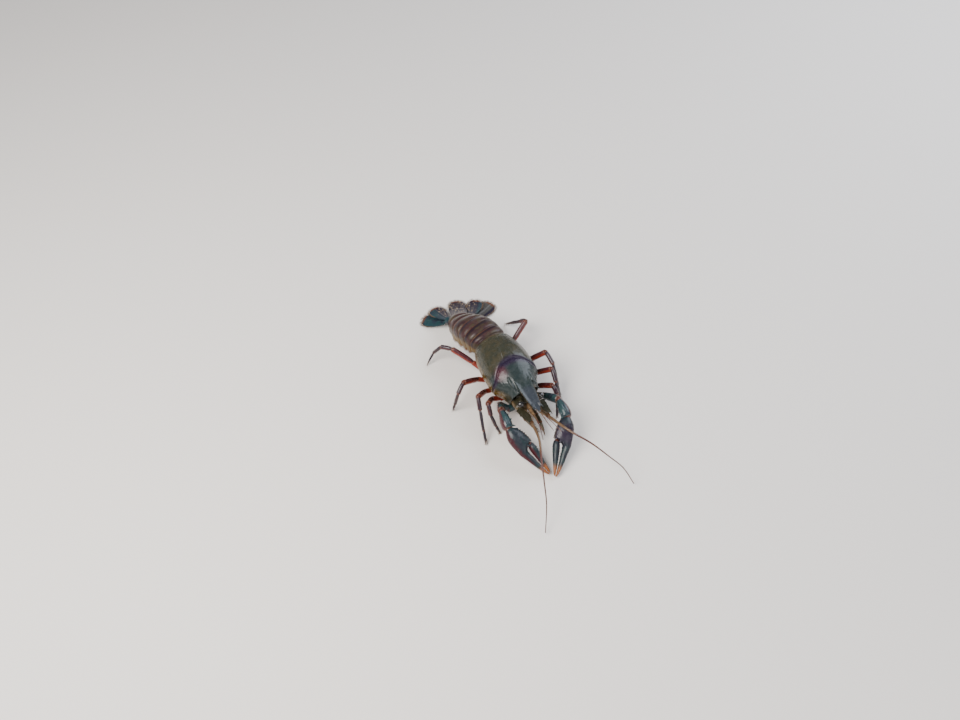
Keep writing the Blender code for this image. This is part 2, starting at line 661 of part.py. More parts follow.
def joint_frame(index):
    """Centre of the back, backward axis and side axis of one joint of the abdomen."""
    x, y, top = ABDOMEN_JOINTS[index][:3]
    pitch = math.radians(JOINT_PITCH[index])
    turn = math.radians(JOINT_TURN[index])
    back = Vector((math.sin(turn) * math.cos(pitch), math.cos(turn) * math.cos(pitch), -math.sin(pitch)))
    side = Vector((math.cos(turn), -math.sin(turn), 0))
    return Vector((x, y, top)), back, side


def segment_ring(origin, back, side, half, depth, flap):
    """One section of the abdomen: an arched back with a hanging flap at each side."""
    up = side.cross(back)
    right = []
    for angle in ARCH_ANGLES:
        a = math.radians(angle)
        right.append((half * math.sin(a) ** 0.9, -ARCH_DROP * (1 - math.cos(a))))
    right.append((half, -0.5 * (ARCH_DROP + flap)))
    right += [(half * 0.97, -flap), (half * 0.90, -flap)]
    right += [(half * 0.80, -depth), (half * 0.45, -depth - 0.25)]
    outline = right + [(0, -depth - 0.3)] + [(-x, z) for x, z in reversed(right[1:])]
    return [origin + side * x + up * z for x, z in outline]


def make_abdomen():
    """Six ringed segments, each with its side flaps, and the swimmerets under four of them."""
    for number in range(6):
        front, back_a, side_a = joint_frame(number)
        rear, back_b, side_b = joint_frame(number + 1)
        size_a = ABDOMEN_JOINTS[number][3:]
        size_b = ABDOMEN_JOINTS[number + 1][3:]
        rings = []
        for share, swell, hang in SEGMENT_SHAPE:
            back = back_a.lerp(back_b, share).normalized()
            side = side_a.lerp(side_b, share).normalized()
            origin = front.lerp(rear, share)
            if share == 0:
                origin = front + back_a * (GAP / 2)
                back = back_a
            if share == 1:
                origin = rear - back_b * (GAP / 2)
                back = back_b
            half, depth, flap = (a + (b - a) * share for a, b in zip(size_a, size_b))
            flap += hang * FLAP_REACH[number]
            origin += side.cross(back) * (swell + math.sin(math.pi * share) * SEGMENT_CROWN)
            rings.append(segment_ring(origin, back, side, half + swell * 0.6, depth, flap))
        segment = mesh_object(f"abdomen_{number + 1}", skin_rings(rings), "abdomen", MODEL)
        if number in SWIMMERET_SEGMENTS:
            fuse(segment, swimmeret_forms(front.lerp(rear, 0.5), back_a, side_a, size_a))


def swimmeret_forms(origin, back, side, sizes):
    """The pair of small forked paddles under one segment."""
    up = side.cross(back)
    half, depth = sizes[0], sizes[1]
    forms = []
    for hand in (-1, 1):
        root = origin + side * (hand * half * 0.42) - up * (depth - SWIMMERET_SUNK)
        for spread, length in SWIMMERETS:
            middle = root - up * (length * 0.5) + side * (hand * spread * 0.6) + back * 0.2
            tip = root - up * (length * 0.95) + side * (hand * spread) + back * 0.5
            forms.append(skin_rings(limb_rings([root, middle, tip], SWIMMERET_SIZES, 6, up=back)))
    return forms


def fan_axis(heading):
    """Level direction at an angle from the tail's own axis, and the one across it."""
    angle = math.radians(TAIL_TURN + heading)
    return Vector((math.sin(angle), math.cos(angle), 0)), Vector((math.cos(angle), -math.sin(angle), 0))


def make_telson():
    """The middle plate of the tail fan, with a crossing seam and two spines on each side."""
    rows = 12
    ahead, across = fan_axis(0)
    root = Vector(TELSON_ROOT)
    line, half = [], []
    for i in range(rows + 1):
        share = i / rows
        place = root + ahead * (TELSON_LENGTH * share * (0.80 + 0.17 * share))
        place.z = 0.35 + (root.z - 0.35) * (1 - share) ** 1.25
        line.append(place)
        half.append(read_along(TELSON_WIDTH, share))
    form = blade_form(line, [across] * len(line), half, half, 1.5, 0.6, 0.5)
    telson = mesh_object("telson", form, "fan", MODEL)
    forms = []
    for side in (-1, 1):
        for reach, row in TELSON_TEETH:
            base = line[row] + across * (side * reach)
            forms.append(spine(base - ahead * 0.6, base + ahead * 1.1 + Vector((0, 0, -0.1)), 0.38))
    fuse(telson, forms)


def make_fan():
    """The four side blades of the tail fan and the two short pieces that carry them."""
    base, back, side_axis = joint_frame(6)
    up = side_axis.cross(back)
    reach, drop = CARRIER_ROOT
    for hand, tag in ((1, "l"), (-1, "r")):
        root = base + side_axis * (hand * reach) - up * drop + back * (GAP / 2)
        ahead, _ = fan_axis(hand * CARRIER_TURN)
        end = root + ahead * CARRIER_LENGTH - Vector((0, 0, 1.0))
        rings = limb_rings([root, root.lerp(end, 0.5), end], CARRIER_SIZES, 8, first=back, last=ahead)
        mesh_object(f"uropod_base_{tag}", skin_rings(rings), "fan", MODEL)
        for name, heading, length, wide in FAN_BLADES:
            if not name.endswith("_" + tag):
                continue
            rows = 8
            ahead, across = fan_axis(heading)
            clear, rise, tip_height, bend = BLADE_LEVELS[name.split("_")[1]]
            start = end + ahead * clear + Vector((0, 0, rise))
            line = []
            for i in range(rows + 1):
                share = i / rows
                place = start + ahead * (length * share * 0.96)
                place.z = tip_height + (start.z - tip_height) * (1 - share) ** bend
                line.append(place)
            half = [wide * read_along(BLADE_SHAPE, i / rows) for i in range(rows + 1)]
            form = blade_form(line, [across] * len(line), half, half, 0.75, 0.5, 0.1)
            mesh_object(name, form, "fan", MODEL)


def stretch(start, end, radius, shape):
    """Ring places and sizes along one straight length, from rows of (share, radius share)."""
    places = [start.lerp(end, share) for share, _ in shape]
    return places, [(radius * width, radius * width) for _, width in shape]


def make_leg(name):
    """One walking leg in two pieces that meet at the knee."""
    side = side_of(name)
    (hip_y, hip_z), turn, knee, wrist, foot = LEGS[name]
    root = mirrored((STERNUM_HALF + GAP, hip_y, hip_z), side)
    hip = mirrored((STERNUM_HALF + GAP + HIP_REACH, hip_y, hip_z), side)
    turn, knee, wrist, foot = (mirrored(p, side) for p in (turn, knee, wrist, foot))
    r = LEG_RADIUS
    bend = ((knee - turn).normalized() + (wrist - knee).normalized()).normalized()
    path = [root, hip]
    sizes = [(r, r), (0.94 * r, 0.94 * r)]
    for start, end, shape in ((hip, turn, HIP_SHAPE), (turn, knee - bend * (GAP / 2), THIGH_SHAPE)):
        spots, radii = stretch(start, end, r, shape)
        path += spots
        sizes += radii
    rings = limb_rings(path, sizes, 8, first=(side, 0, 0), last=bend)
    mesh_object(f"{name}_upper", skin_rings(rings), "leg", MODEL)
    path, sizes = stretch(knee + bend * (GAP / 2), wrist, r, SHIN_SHAPE)
    low = wrist
    shape = FOOT_SHAPE
    if name in LEG_BEND:
        low = mirrored(LEG_BEND[name], side)
        spots, radii = stretch(wrist, low, r, HAND_SHAPE)
        path += spots
        sizes += radii
        shape = TOE_SHAPE
    spots, radii = stretch(low, foot, r, shape)
    path += spots
    sizes += radii
    rings = limb_rings(path, sizes, 8, first=bend, last=(0, 0, -1))
    lower = mesh_object(f"{name}_lower", skin_rings(rings), "leg", MODEL)
    if name.startswith(PINCER_LEGS):
        inward = Vector((-0.9 * side, -0.25, 0))
        begin = wrist.lerp(foot, 0.58)
        middle = wrist.lerp(foot, 0.78) + inward * 0.8
        tip = Vector((foot.x, foot.y, 0)) + inward * 0.75
        sizes = [(0.36, 0.36), (0.34, 0.34), (0.24, 0.24)]
        fuse(lower, [skin_rings(limb_rings([begin, middle, tip], sizes, 6, last=(0, 0, -1)))])


def claw_point(frame, x, y, z):
    """A point of a claw: x outwards, y towards its tip, z over its back."""
    wrist, outward, ahead, over = frame
    return wrist + outward * x + ahead * y + over * z


def claw_rings(frame, stations, sides=14, plane=None):
    """Ellipses of a claw from rows of (y, x of centre, half width, half depth, slant).

    plane is the wrist joint's normal: the first ring is laid on it.
    """
    rings = []
    for y, x, half, deep, slant in stations:
        ring = []
        for k in range(sides):
            angle = 2 * math.pi * k / sides
            reach = half * math.cos(angle)
            ring.append(claw_point(frame, x + reach, y + slant * reach, deep * math.sin(angle)))
        rings.append(ring)
    if plane is not None:
        wrist, _, ahead, _ = frame
        rings[0] = [p + ahead * ((wrist - p).dot(plane) / ahead.dot(plane)) for p in rings[0]]
    return rings


def claw_frame(tag, wrist, tip, side):
    """Wrist point, outward axis, axis to the tip and axis over the back of a claw."""
    ahead = (tip - wrist).normalized()
    outward = ahead.cross(Vector((0, 0, 1))).normalized()
    if outward.x * side < 0:
        outward.negate()
    outward = (Matrix.Rotation(math.radians(CLAW_ROLL[tag]), 3, ahead) @ outward).normalized()
    over = outward.cross(ahead)
    if over.z < 0:
        over.negate()
    return wrist, outward, ahead, over


def scaled_stations(table, start):
    """Claw sections in millimetres from rows in shares of the claw's half width and depth."""
    w, d = CLAW_HALF, CLAW_DEPTH
    return [(start + y, x * w, half * w, deep * d, slant) for y, x, half, deep, slant in table]


def make_claw(tag, wrist, tip, side, plane):
    """Palm with its fixed finger, and the hinged finger on the inner side."""
    frame = claw_frame(tag, wrist, tip, side)
    w = CLAW_HALF
    stations = scaled_stations(PALM_STATIONS, 0)
    rings = claw_rings(frame, stations, plane=plane)
    hand = mesh_object(f"claw_palm_{tag}", skin_rings(rings), "claw", MODEL)
    forms = []
    for i in range(PALM_BUMPS):
        y = 2.2 + 1.25 * i
        edge = -(0.72 + 0.27 * min(1.0, (y - 1.3) / 4.0)) * w
        base = claw_point(frame, edge + 0.6, y, 0.5)
        forms.append(spine(base, claw_point(frame, edge - 0.55, y + 0.5, 0.75), 0.5))
    for i in range(PALM_TEETH):
        y = PALM_LENGTH + 3.6 + TOOTH_STEP * i
        inner = (0.47 - 0.33) * w - 0.05 * i
        forms.append(spine(claw_point(frame, inner + 0.5, y, 0), claw_point(frame, inner - 0.28, y, 0), 0.42))
    fuse(hand, forms)
    stations = scaled_stations(FINGER_STATIONS, PALM_LENGTH + FINGER_CLEAR)
    rings = claw_rings(frame, stations, 12)
    finger = mesh_object(f"claw_finger_{tag}", skin_rings(rings), "claw", MODEL)
    edge_line = [(y, x - half) for y, x, half, deep, slant in stations]
    forms = []
    for i in range(FINGER_BUMPS):
        y = stations[0][0] + 2.6 + TOOTH_STEP * i
        outer = read_along(edge_line, y)
        tooth_tip = claw_point(frame, outer - 0.4, y + 0.3, 0.5)
        forms.append(spine(claw_point(frame, outer + 0.5, y, 0.3), tooth_tip, 0.42))
    fuse(finger, forms)


def make_arm(tag):
    """One claw arm: root piece, long arm piece, wrist piece and claw."""
    side = 1 if tag == "l" else -1
    (hip_y, hip_z), turn, elbow, wrist, tip = ARMS[tag]
    root = mirrored((STERNUM_HALF + GAP, hip_y, hip_z), side)
    hip = mirrored((STERNUM_HALF + GAP + ARM_HIP_REACH, hip_y, hip_z), side)
    turn, elbow, wrist, tip = (mirrored(p, side) for p in (turn, elbow, wrist, tip))
    points = [hip, turn, elbow, wrist, tip]
    steps = [(b - a).normalized() for a, b in zip(points, points[1:])]
    bends = [(a + b).normalized() for a, b in zip(steps, steps[1:])]
    r = ARM_RADIUS
    spots, sizes = stretch(hip, turn - bends[0] * (GAP / 2), r, ARM_ROOT_SHAPE)
    rings = limb_rings([root, hip] + spots, [(r, r), (r, r)] + sizes, 10, first=(side, 0, 0), last=bends[0])
    mesh_object(f"arm_root_{tag}", skin_rings(rings), "arm", MODEL)
    path, sizes = stretch(turn + bends[0] * (GAP / 2), elbow - bends[1] * (GAP / 2), r, ARM_UPPER_SHAPE)
    rings = limb_rings(path, sizes, 10, first=bends[0], last=bends[1])
    upper = mesh_object(f"arm_upper_{tag}", skin_rings(rings), "arm", MODEL)
    over = Vector((0, 0, 1))
    fuse(upper, [spine(path[3] + over * 1.2, path[3] + over * 2.6 + steps[1] * 1.0, 0.5),
                 spine(path[2] - over * 1.2, path[2] - over * 2.7 + steps[1] * 0.8, 0.5)])
    path, sizes = stretch(elbow + bends[1] * (GAP / 2), wrist - bends[2] * (GAP / 2), r, WRIST_SHAPE)
    rings = limb_rings(path, sizes, 12, first=bends[1], last=bends[2])
    carpus = mesh_object(f"wrist_{tag}", skin_rings(rings), "arm", MODEL)
    inward = Vector((-side, 0, 0))
    fuse(carpus, [spine(path[3] + inward * 1.6, path[3] + inward * 3.5 + steps[2] * 1.2, 0.6),
                  spine(path[2] + inward * 1.8 + over * 0.8, path[2] + inward * 3.1 + over * 1.2, 0.45)])
    make_claw(tag, wrist + bends[2] * (GAP / 2), tip, side, bends[2])


def settle():
    """Turns millimetres into metres and centres the model on its footprint."""
    corners = [v.co for obj in MODEL.objects for v in obj.data.vertices]
    low = Vector([min(c[axis] for c in corners) for axis in range(3)])
    high = Vector([max(c[axis] for c in corners) for axis in range(3)])
    shift = Vector((-(low.x + high.x) / 2, -(low.y + high.y) / 2, -low.z))
    for obj in MODEL.objects:
        obj.data.transform(Matrix.Scale(MM, 4) @ Matrix.Translation(shift))
        obj.data.shade_smooth()
        obj.data.set_sharp_from_angle(angle=math.radians(40))


clear_scene()
MATERIALS = {name: make_material(name) for name in COLOURS}
MODEL = make_collection("crayfish")
make_carapace()
make_thorax()
make_face()
make_abdomen()
make_telson()
make_fan()
for hand in (1, -1):
    make_eye(hand)
    make_feelers(hand)
    make_maxilliped(hand)
for leg in LEGS:
    make_leg(leg)
for arm in ARMS:
    make_arm(arm)
settle()
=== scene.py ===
# %% [markdown]
# A still crayfish, made as a museum model maker would make it: shell by shell, from the beak to
# the tail fan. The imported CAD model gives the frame, that is, where every piece sits and how big
# it is. This lesson adds what a solid model leaves out: soft grooves, overlapping plates, beaded
# feelers, fringes of hair and the look of a wet, mottled shell.

# %% Load the frame
import itertools
import math
import random

import bmesh
import bpy
import numpy as np
from mathutils import Matrix, Vector
from mathutils.kdtree import KDTree


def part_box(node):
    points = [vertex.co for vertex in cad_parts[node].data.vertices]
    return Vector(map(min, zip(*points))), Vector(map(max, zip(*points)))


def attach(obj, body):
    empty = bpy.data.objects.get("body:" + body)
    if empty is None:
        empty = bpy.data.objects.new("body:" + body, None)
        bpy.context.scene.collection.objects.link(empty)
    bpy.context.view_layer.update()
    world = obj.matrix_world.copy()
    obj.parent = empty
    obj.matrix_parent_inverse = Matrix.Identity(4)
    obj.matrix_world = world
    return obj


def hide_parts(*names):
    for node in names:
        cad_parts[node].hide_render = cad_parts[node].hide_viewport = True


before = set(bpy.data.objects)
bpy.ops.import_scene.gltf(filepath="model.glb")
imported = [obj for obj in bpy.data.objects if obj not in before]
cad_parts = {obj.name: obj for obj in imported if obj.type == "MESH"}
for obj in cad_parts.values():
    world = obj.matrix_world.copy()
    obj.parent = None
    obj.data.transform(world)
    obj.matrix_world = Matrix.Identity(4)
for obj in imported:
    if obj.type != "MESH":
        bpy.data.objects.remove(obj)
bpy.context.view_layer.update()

print("nodes in the frame:", len(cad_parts))

# %% [markdown]
# A crayfish is small, and Blender's tools like sizes near 1. So every piece is modelled in
# millimetres in the animal's own frame: x = 0 on its midline, the head towards -y, y = 0 where
# the neck groove crosses the back, z = 0 on the ground. The last step of each piece turns
# millimetres into metres and moves it onto the CAD model. The underside of the thorax tells
# where that is, because it is symmetric and its front end lies 15.3 mm ahead of the groove.

# %% From the animal's frame to the room
MM = 0.001
THORAX_FRONT = -15.3
low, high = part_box("thorax_underside")
ORIGIN = Vector(((low.x + high.x) / 2, low.y - THORAX_FRONT * MM, 0))
TO_ROOM = Matrix.Translation(ORIGIN) @ Matrix.Scale(MM, 4)
print("the animal's origin in the room:", tuple(round(c, 5) for c in ORIGIN))

# %% [markdown]
# The photo looks down on the animal from ahead and from its right, at about 55 degrees. The
# camera is set first, because it decides how much care each side needs. Its target is a point
# on the ground beside the tail, so that the animal stands right of the middle and high in the
# frame, as in the photo.

# %% Camera
CAMERA_TARGET = Vector((-4.01, 19.52, 0))
CAMERA_RISE = math.radians(55)
CAMERA_TURN = math.radians(-27.4)
CAMERA_DISTANCE = 500
CAMERA_LENS, CAMERA_SENSOR = 40.875, 36
CAMERA_NEAREST = 0.01

away = Vector((math.sin(CAMERA_TURN) * math.cos(CAMERA_RISE),
               -math.cos(CAMERA_TURN) * math.cos(CAMERA_RISE),
               math.sin(CAMERA_RISE)))
bpy.ops.object.select_all(action="DESELECT")
bpy.ops.object.camera_add(location=TO_ROOM @ (CAMERA_TARGET + away * CAMERA_DISTANCE),
                          rotation=(-away).to_track_quat("-Z", "Y").to_euler())
camera = bpy.context.object
camera.name = "camera"
camera.data.sensor_width = CAMERA_SENSOR
camera.data.lens = CAMERA_LENS
camera.data.clip_start = CAMERA_NEAREST
bpy.context.scene.camera = camera
print("camera at", tuple(round(c, 3) for c in camera.location))

# %% [markdown]
# A plain pale floor and soft studio light. A wet shell shows mostly what it mirrors, so the
# lamps are large and pale: they draw broad, soft glints on the back, the claws and the beak.

# %% Floor and lamps
FLOOR_SIZE = 4
PAPER_COLOUR, PAPER_ROUGHNESS = (0.74, 0.70, 0.66, 1), 0.85
SKY_COLOUR, SKY_STRENGTH = (0.86, 0.90, 1.0, 1), 0.27
# Title, place and size in millimetres, power in watts, colour
LAMPS = [
    ("key", (-300, -40, 400), 340, 5.0, (1.0, 0.97, 0.93)),
    ("sky", (420, 60, 330), 420, 3.2, (0.84, 0.90, 1.0)),
    ("front", (60, -430, 200), 280, 0.8, (1.0, 0.98, 0.95)),
]
bpy.ops.mesh.primitive_plane_add(size=FLOOR_SIZE)
floor = bpy.context.object
floor.name = "floor"
paper = bpy.data.materials.new("pale_paper")
paper.use_nodes = True
paper_shader = paper.node_tree.nodes["Principled BSDF"]
paper_shader.inputs["Base Color"].default_value = PAPER_COLOUR
paper_shader.inputs["Roughness"].default_value = PAPER_ROUGHNESS
floor.data.materials.append(paper)

for title, place, size, power, colour in LAMPS:
    spot = Vector(place)
    bpy.ops.object.light_add(type="AREA", location=TO_ROOM @ spot,
                             rotation=(-spot).to_track_quat("-Z", "Y").to_euler())
    lamp = bpy.context.object
    lamp.name = "lamp_" + title
    lamp.data.size = size * MM
    lamp.data.energy = power
    lamp.data.color = colour
world = bpy.data.worlds.new("studio")
bpy.context.scene.world = world
world.use_nodes = True
sky = world.node_tree.nodes["Background"]
sky.inputs["Color"].default_value = SKY_COLOUR
sky.inputs["Strength"].default_value = SKY_STRENGTH
print("lamps:", len(LAMPS))

# %% [markdown]
# The first tool reads a smooth value from a short table, so that a profile is a handful of
# named sizes and not a long list of points. The second sets rings square to a limb's path.

# %% Reading profiles
def read_along(table, place):
    """Smooth value at a place in a table of (place, value) rows."""
    rows = sorted(table)
    place = min(max(place, rows[0][0]), rows[-1][0])
    index = 0
    while index < len(rows) - 2 and place > rows[index + 1][0]:
        index += 1
    (x0, y0), (x1, y1) = rows[index], rows[index + 1]
    before, after = rows[max(index - 1, 0)], rows[min(index + 2, len(rows) - 1)]
    slope0 = (y1 - before[1]) / (x1 - before[0])
    slope1 = (after[1] - y0) / (after[0] - x0)
    span = x1 - x0
    t = (place - x0) / span
    return ((2 * t**3 - 3 * t**2 + 1) * y0 + (t**3 - 2 * t**2 + t) * span * slope0
            + (3 * t**2 - 2 * t**3) * y1 + (t**3 - t**2) * span * slope1)


def read_column(table, place, column):
    """Smooth value at a place in one column of a wider table."""
    return read_along([(row[0], row[column]) for row in table], place)


def smooth_path(points, steps):
    """Points spread evenly along a smooth curve through the given ones."""
    spots = [Vector(p) for p in points]
    marks = [0.0]
    for a, b in zip(spots, spots[1:]):
        marks.append(marks[-1] + (b - a).length)
    tables = [[(s, p[axis]) for s, p in zip(marks, spots)] for axis in range(3)]
    return [Vector([read_along(table, marks[-1] * i / steps) for table in tables])
            for i in range(steps + 1)]


def spread(first, last, count):
    """Evenly spread numbers, both ends included."""
    return [first + (last - first) * i / (count - 1) for i in range(count)]


def mirrored(point, side):
    """The point on the animal's left (side 1) or right (side -1)."""
    return Vector((point[0] * side, point[1], point[2]))


def bump_at(value, centre, width):
    """A bell from 0 to 1 round a centre."""
    return math.exp(-((value - centre) / width) ** 2)


def ramp(value, start, end):
    """0 before start, 1 after end, soft between."""
    t = min(1.0, max(0.0, (value - start) / (end - start)))
    return t * t * (3 - 2 * t)


print("a profile read half way:", round(read_along([(0, 1.0), (1, 2.0), (2, 1.5)], 0.5), 3))

# %% [markdown]
# Shells and limbs grow the same way by hand: add a disc, then extrude it again and again and
# put each new rim where the section should be. Extrude keeps the order of the rim's vertices,
# so a ring of points worked out by a formula can be laid on the fresh rim one by one. The
# result has clean rows of four-sided faces, which subdivide without a crease.

# %% Grow a form ring by ring
def lay_rim(piece, ring):
    """Puts the selected rim's vertices on the points of a ring."""
    mesh = bmesh.from_edit_mesh(piece.data)
    rim = [v for v in mesh.verts if v.select]
    for vertex, point in zip(rim, ring):
        vertex.co = point
    bmesh.update_edit_mesh(piece.data)


def grow(name, rings):
    """A closed form through rings with equal point counts."""
    bpy.ops.object.select_all(action="DESELECT")
    bpy.ops.mesh.primitive_circle_add(vertices=len(rings[0]), radius=1, fill_type="NGON")
    piece = bpy.context.object
    piece.name = piece.data.name = name
    bpy.ops.object.mode_set(mode="EDIT")
    lay_rim(piece, rings[0])
    for ring in rings[1:]:
        bpy.ops.mesh.extrude_region_move()
        lay_rim(piece, ring)
    bpy.ops.mesh.select_all(action="SELECT")
    bpy.ops.mesh.normals_make_consistent(inside=False)
    bpy.ops.object.mode_set(mode="OBJECT")
    return piece


def oval(centre, across, up, half_width, half_height, sides):
    """A ring of points on an ellipse."""
    turns = [2 * math.pi * k / sides for k in range(sides)]
    return [centre + across * (half_width * math.cos(a)) + up * (half_height * math.sin(a))
            for a in turns]


def rings_on(path, sizes, sides, up=(0, 0, 1)):
    """Ellipses set square to a path."""
    rings = []
    lifted = Vector(up)
    for index, spot in enumerate(path):
        behind = path[max(index - 1, 0)]
        ahead = path[min(index + 1, len(path) - 1)]
        along = (ahead - behind).normalized()
        lifted = (lifted - along * lifted.dot(along)).normalized()
        rings.append(oval(spot, along.cross(lifted), lifted, *sizes[index], sides))
    return rings


def soften(piece):
    """Applies one level of Subdivision Surface."""
    bpy.context.view_layer.objects.active = piece
    smoother = piece.modifiers.new("soften", "SUBSURF")
    smoother.levels = smoother.render_levels = 1
    bpy.ops.object.modifier_apply(modifier=smoother.name)
    return piece


def join(name, forms):
    """Several forms as one object."""
    bpy.ops.object.select_all(action="DESELECT")
    for form in forms:
        form.select_set(True)
    bpy.context.view_layer.objects.active = forms[0]
    if len(forms) > 1:
        bpy.ops.object.join()
    piece = bpy.context.object
    piece.name = piece.data.name = name
    return piece


print("tools ready: grow, rings_on, soften, join")

# %% [markdown]
# Real shell has no sharp corner where a spine or a knob rises from it: the two flow together.
# A Boolean union leaves a crease there. So the closed forms are simply pushed into each other
# and melted into one skin by a voxel remesh, then smoothed for a few rounds. Grooves are cut
# afterwards, by pushing vertices inwards along their normals, because a remesh would fill them.

# %% Melt forms into one skin
THORN_SIDES, THORN_BLUNTNESS = 10, 0.2


def thorn(base, tip, radius):
    """A cone primitive laid from base to tip."""
    base, tip = Vector(base), Vector(tip)
    turn = (tip - base).to_track_quat("Z", "Y").to_euler()
    bpy.ops.mesh.primitive_cone_add(vertices=THORN_SIDES, radius1=radius,
                                    radius2=radius * THORN_BLUNTNESS,
                                    depth=(tip - base).length, location=(base + tip) / 2,
                                    rotation=turn)
    return bpy.context.object


def knob(centre, size):
    """A small egg: a sphere primitive with three half sizes."""
    bpy.ops.mesh.primitive_uv_sphere_add(segments=12, ring_count=8, radius=1, location=centre,
                                         scale=size)
    return bpy.context.object


def melt(name, forms, voxel, rounds=3):
    """Joins closed forms into one smooth skin."""
    piece = join(name, forms)
    remesh = piece.modifiers.new("melt", "REMESH")
    remesh.mode = "VOXEL"
    remesh.voxel_size = voxel
    bpy.ops.object.modifier_apply(modifier=remesh.name)
    relax = piece.modifiers.new("relax", "SMOOTH")
    relax.factor = 0.5
    relax.iterations = rounds
    bpy.ops.object.modifier_apply(modifier=relax.name)
    return piece


def carve(piece, depth):
    """Pushes each vertex inwards along its normal by depth(place, normal) millimetres."""
    moves = [v.normal * depth(v.co, v.normal) for v in piece.data.vertices]
    for vertex, move in zip(piece.data.vertices, moves):
        vertex.co -= move
    piece.data.update()


def stain(piece, name, rule):
    """Writes a mask on the vertices, by rule(place, normal), which a material reads by name."""
    masks = piece.data.attributes
    layer = masks.get(name) or masks.new(name, "FLOAT", "POINT")
    layer.data.foreach_set("value", [rule(v.co, v.normal) for v in piece.data.vertices])


print("tools ready: thorn, knob, melt, carve, stain")

# %% [markdown]
# The last tool of each piece: it moves the mesh into the room, gives it its material, hangs it
# under the frame's root and hides the CAD nodes that it stands for.

# %% Settle a piece into the frame
TRIANGLES = {}


def settle(piece, material, slot, *nodes):
    """Takes a finished piece from millimetres to the room, and hands it to the frame."""
    title = piece.name.split(".")[0]
    piece.name = piece.data.name = "real_" + title
    piece.data.transform(TO_ROOM)
    piece.data.materials.clear()
    piece.data.materials.append(material)
    for polygon in piece.data.polygons:
        polygon.use_smooth = True
    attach(piece, "root")
    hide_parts(*nodes)
    TRIANGLES[title] = sum(len(polygon.vertices) - 2 for polygon in piece.data.polygons)
    return piece


print("the room's scale:", MM, "metres for a millimetre")

# %% [markdown]
# Materials next. A crayfish shell is not one colour: it is a dark ground under cloudy patches
# and fine flecks, with pores that catch the light, under a film of water. Three node groups
# hold what every shell shares. The first gives the clouds and flecks, the second the height of
# pores and grain, the third how wet each spot is.

# %% Node groups shared by the shells
def add_node(tree, kind, **settings):
    """A node with its settings."""
    node = tree.nodes.new(kind)
    for key, value in settings.items():
        setattr(node, key, value)
    return node


NOISE_ROUGHNESS = 0.55


def noise(tree, place, scale, detail):
    """A noise texture's factor, in features per millimetre."""
    node = add_node(tree, "ShaderNodeTexNoise")
    node.inputs["Scale"].default_value = scale
    node.inputs["Detail"].default_value = detail
    node.inputs["Roughness"].default_value = NOISE_ROUGHNESS
    tree.links.new(place, node.inputs["Vector"])
    return node.outputs["Fac"]


def remap(tree, value, low, high):
    """A soft step: 0 where the value is low, 1 where it is high."""
    node = add_node(tree, "ShaderNodeMapRange", interpolation_type="SMOOTHSTEP")
    node.inputs["From Min"].default_value = low
    node.inputs["From Max"].default_value = high
    tree.links.new(value, node.inputs["Value"])
    return node.outputs["Result"]


def maths(tree, operation, a, b):
    """One sum of two sockets or numbers."""
    node = add_node(tree, "ShaderNodeMath", operation=operation)
    for socket, value in zip(node.inputs, (a, b)):
        if isinstance(value, (int, float)):
            socket.default_value = value
        else:
            tree.links.new(value, socket)
    return node.outputs["Value"]


def mix_colours(tree, factor, a, b):
    """Colour a where the factor is 0, colour b where it is 1."""
    node = add_node(tree, "ShaderNodeMix", data_type="RGBA")
    for socket, value in zip((node.inputs[0], node.inputs[6], node.inputs[7]), (factor, a, b)):
        if isinstance(value, tuple):
            socket.default_value = (*value, 1)
        elif isinstance(value, (int, float)):
            socket.default_value = value
        else:
            tree.links.new(value, socket)
    return node.outputs[2]


def new_group(name, inputs, outputs):
    """An empty node group with named sockets, and its input and output nodes."""
    group = bpy.data.node_groups.new(name, "ShaderNodeTree")
    for title, kind in inputs:
        group.interface.new_socket(title, in_out="INPUT", socket_type=kind)
    for title, kind in outputs:
        group.interface.new_socket(title, in_out="OUTPUT", socket_type=kind)
    return group, group.nodes.new("NodeGroupInput"), group.nodes.new("NodeGroupOutput")


COLOUR, NUMBER, VECTOR = "NodeSocketColor", "NodeSocketFloat", "NodeSocketVector"
CLOUDS, source, sink = new_group(
    "shell_clouds", [("Place", VECTOR), ("Ground", COLOUR), ("Cloud", COLOUR), ("Fleck", COLOUR)],
    [("Colour", COLOUR)])
place, ground, cloud, fleck = (source.outputs[title]
                               for title in ("Place", "Ground", "Cloud", "Fleck"))
wide, fine, dots, broad = (
    remap(CLOUDS, noise(CLOUDS, place, scale, detail), low_edge, high_edge)
    for scale, detail, low_edge, high_edge in (
        (0.35, 5.0, 0.42, 0.62), (1.9, 4.0, 0.50, 0.68), (5.5, 2.0, 0.60, 0.72),
        (0.14, 3.0, 0.48, 0.62)))
mottled = mix_colours(CLOUDS, maths(CLOUDS, "MULTIPLY", broad, 0.5), ground, fleck)
mottled = mix_colours(CLOUDS, wide, mottled, cloud)
mottled = mix_colours(CLOUDS, maths(CLOUDS, "MULTIPLY", fine, 0.55), mottled, cloud)
mottled = mix_colours(CLOUDS, maths(CLOUDS, "MULTIPLY", dots, 0.6), mottled, fleck)
CLOUDS.links.new(mottled, sink.inputs["Colour"])

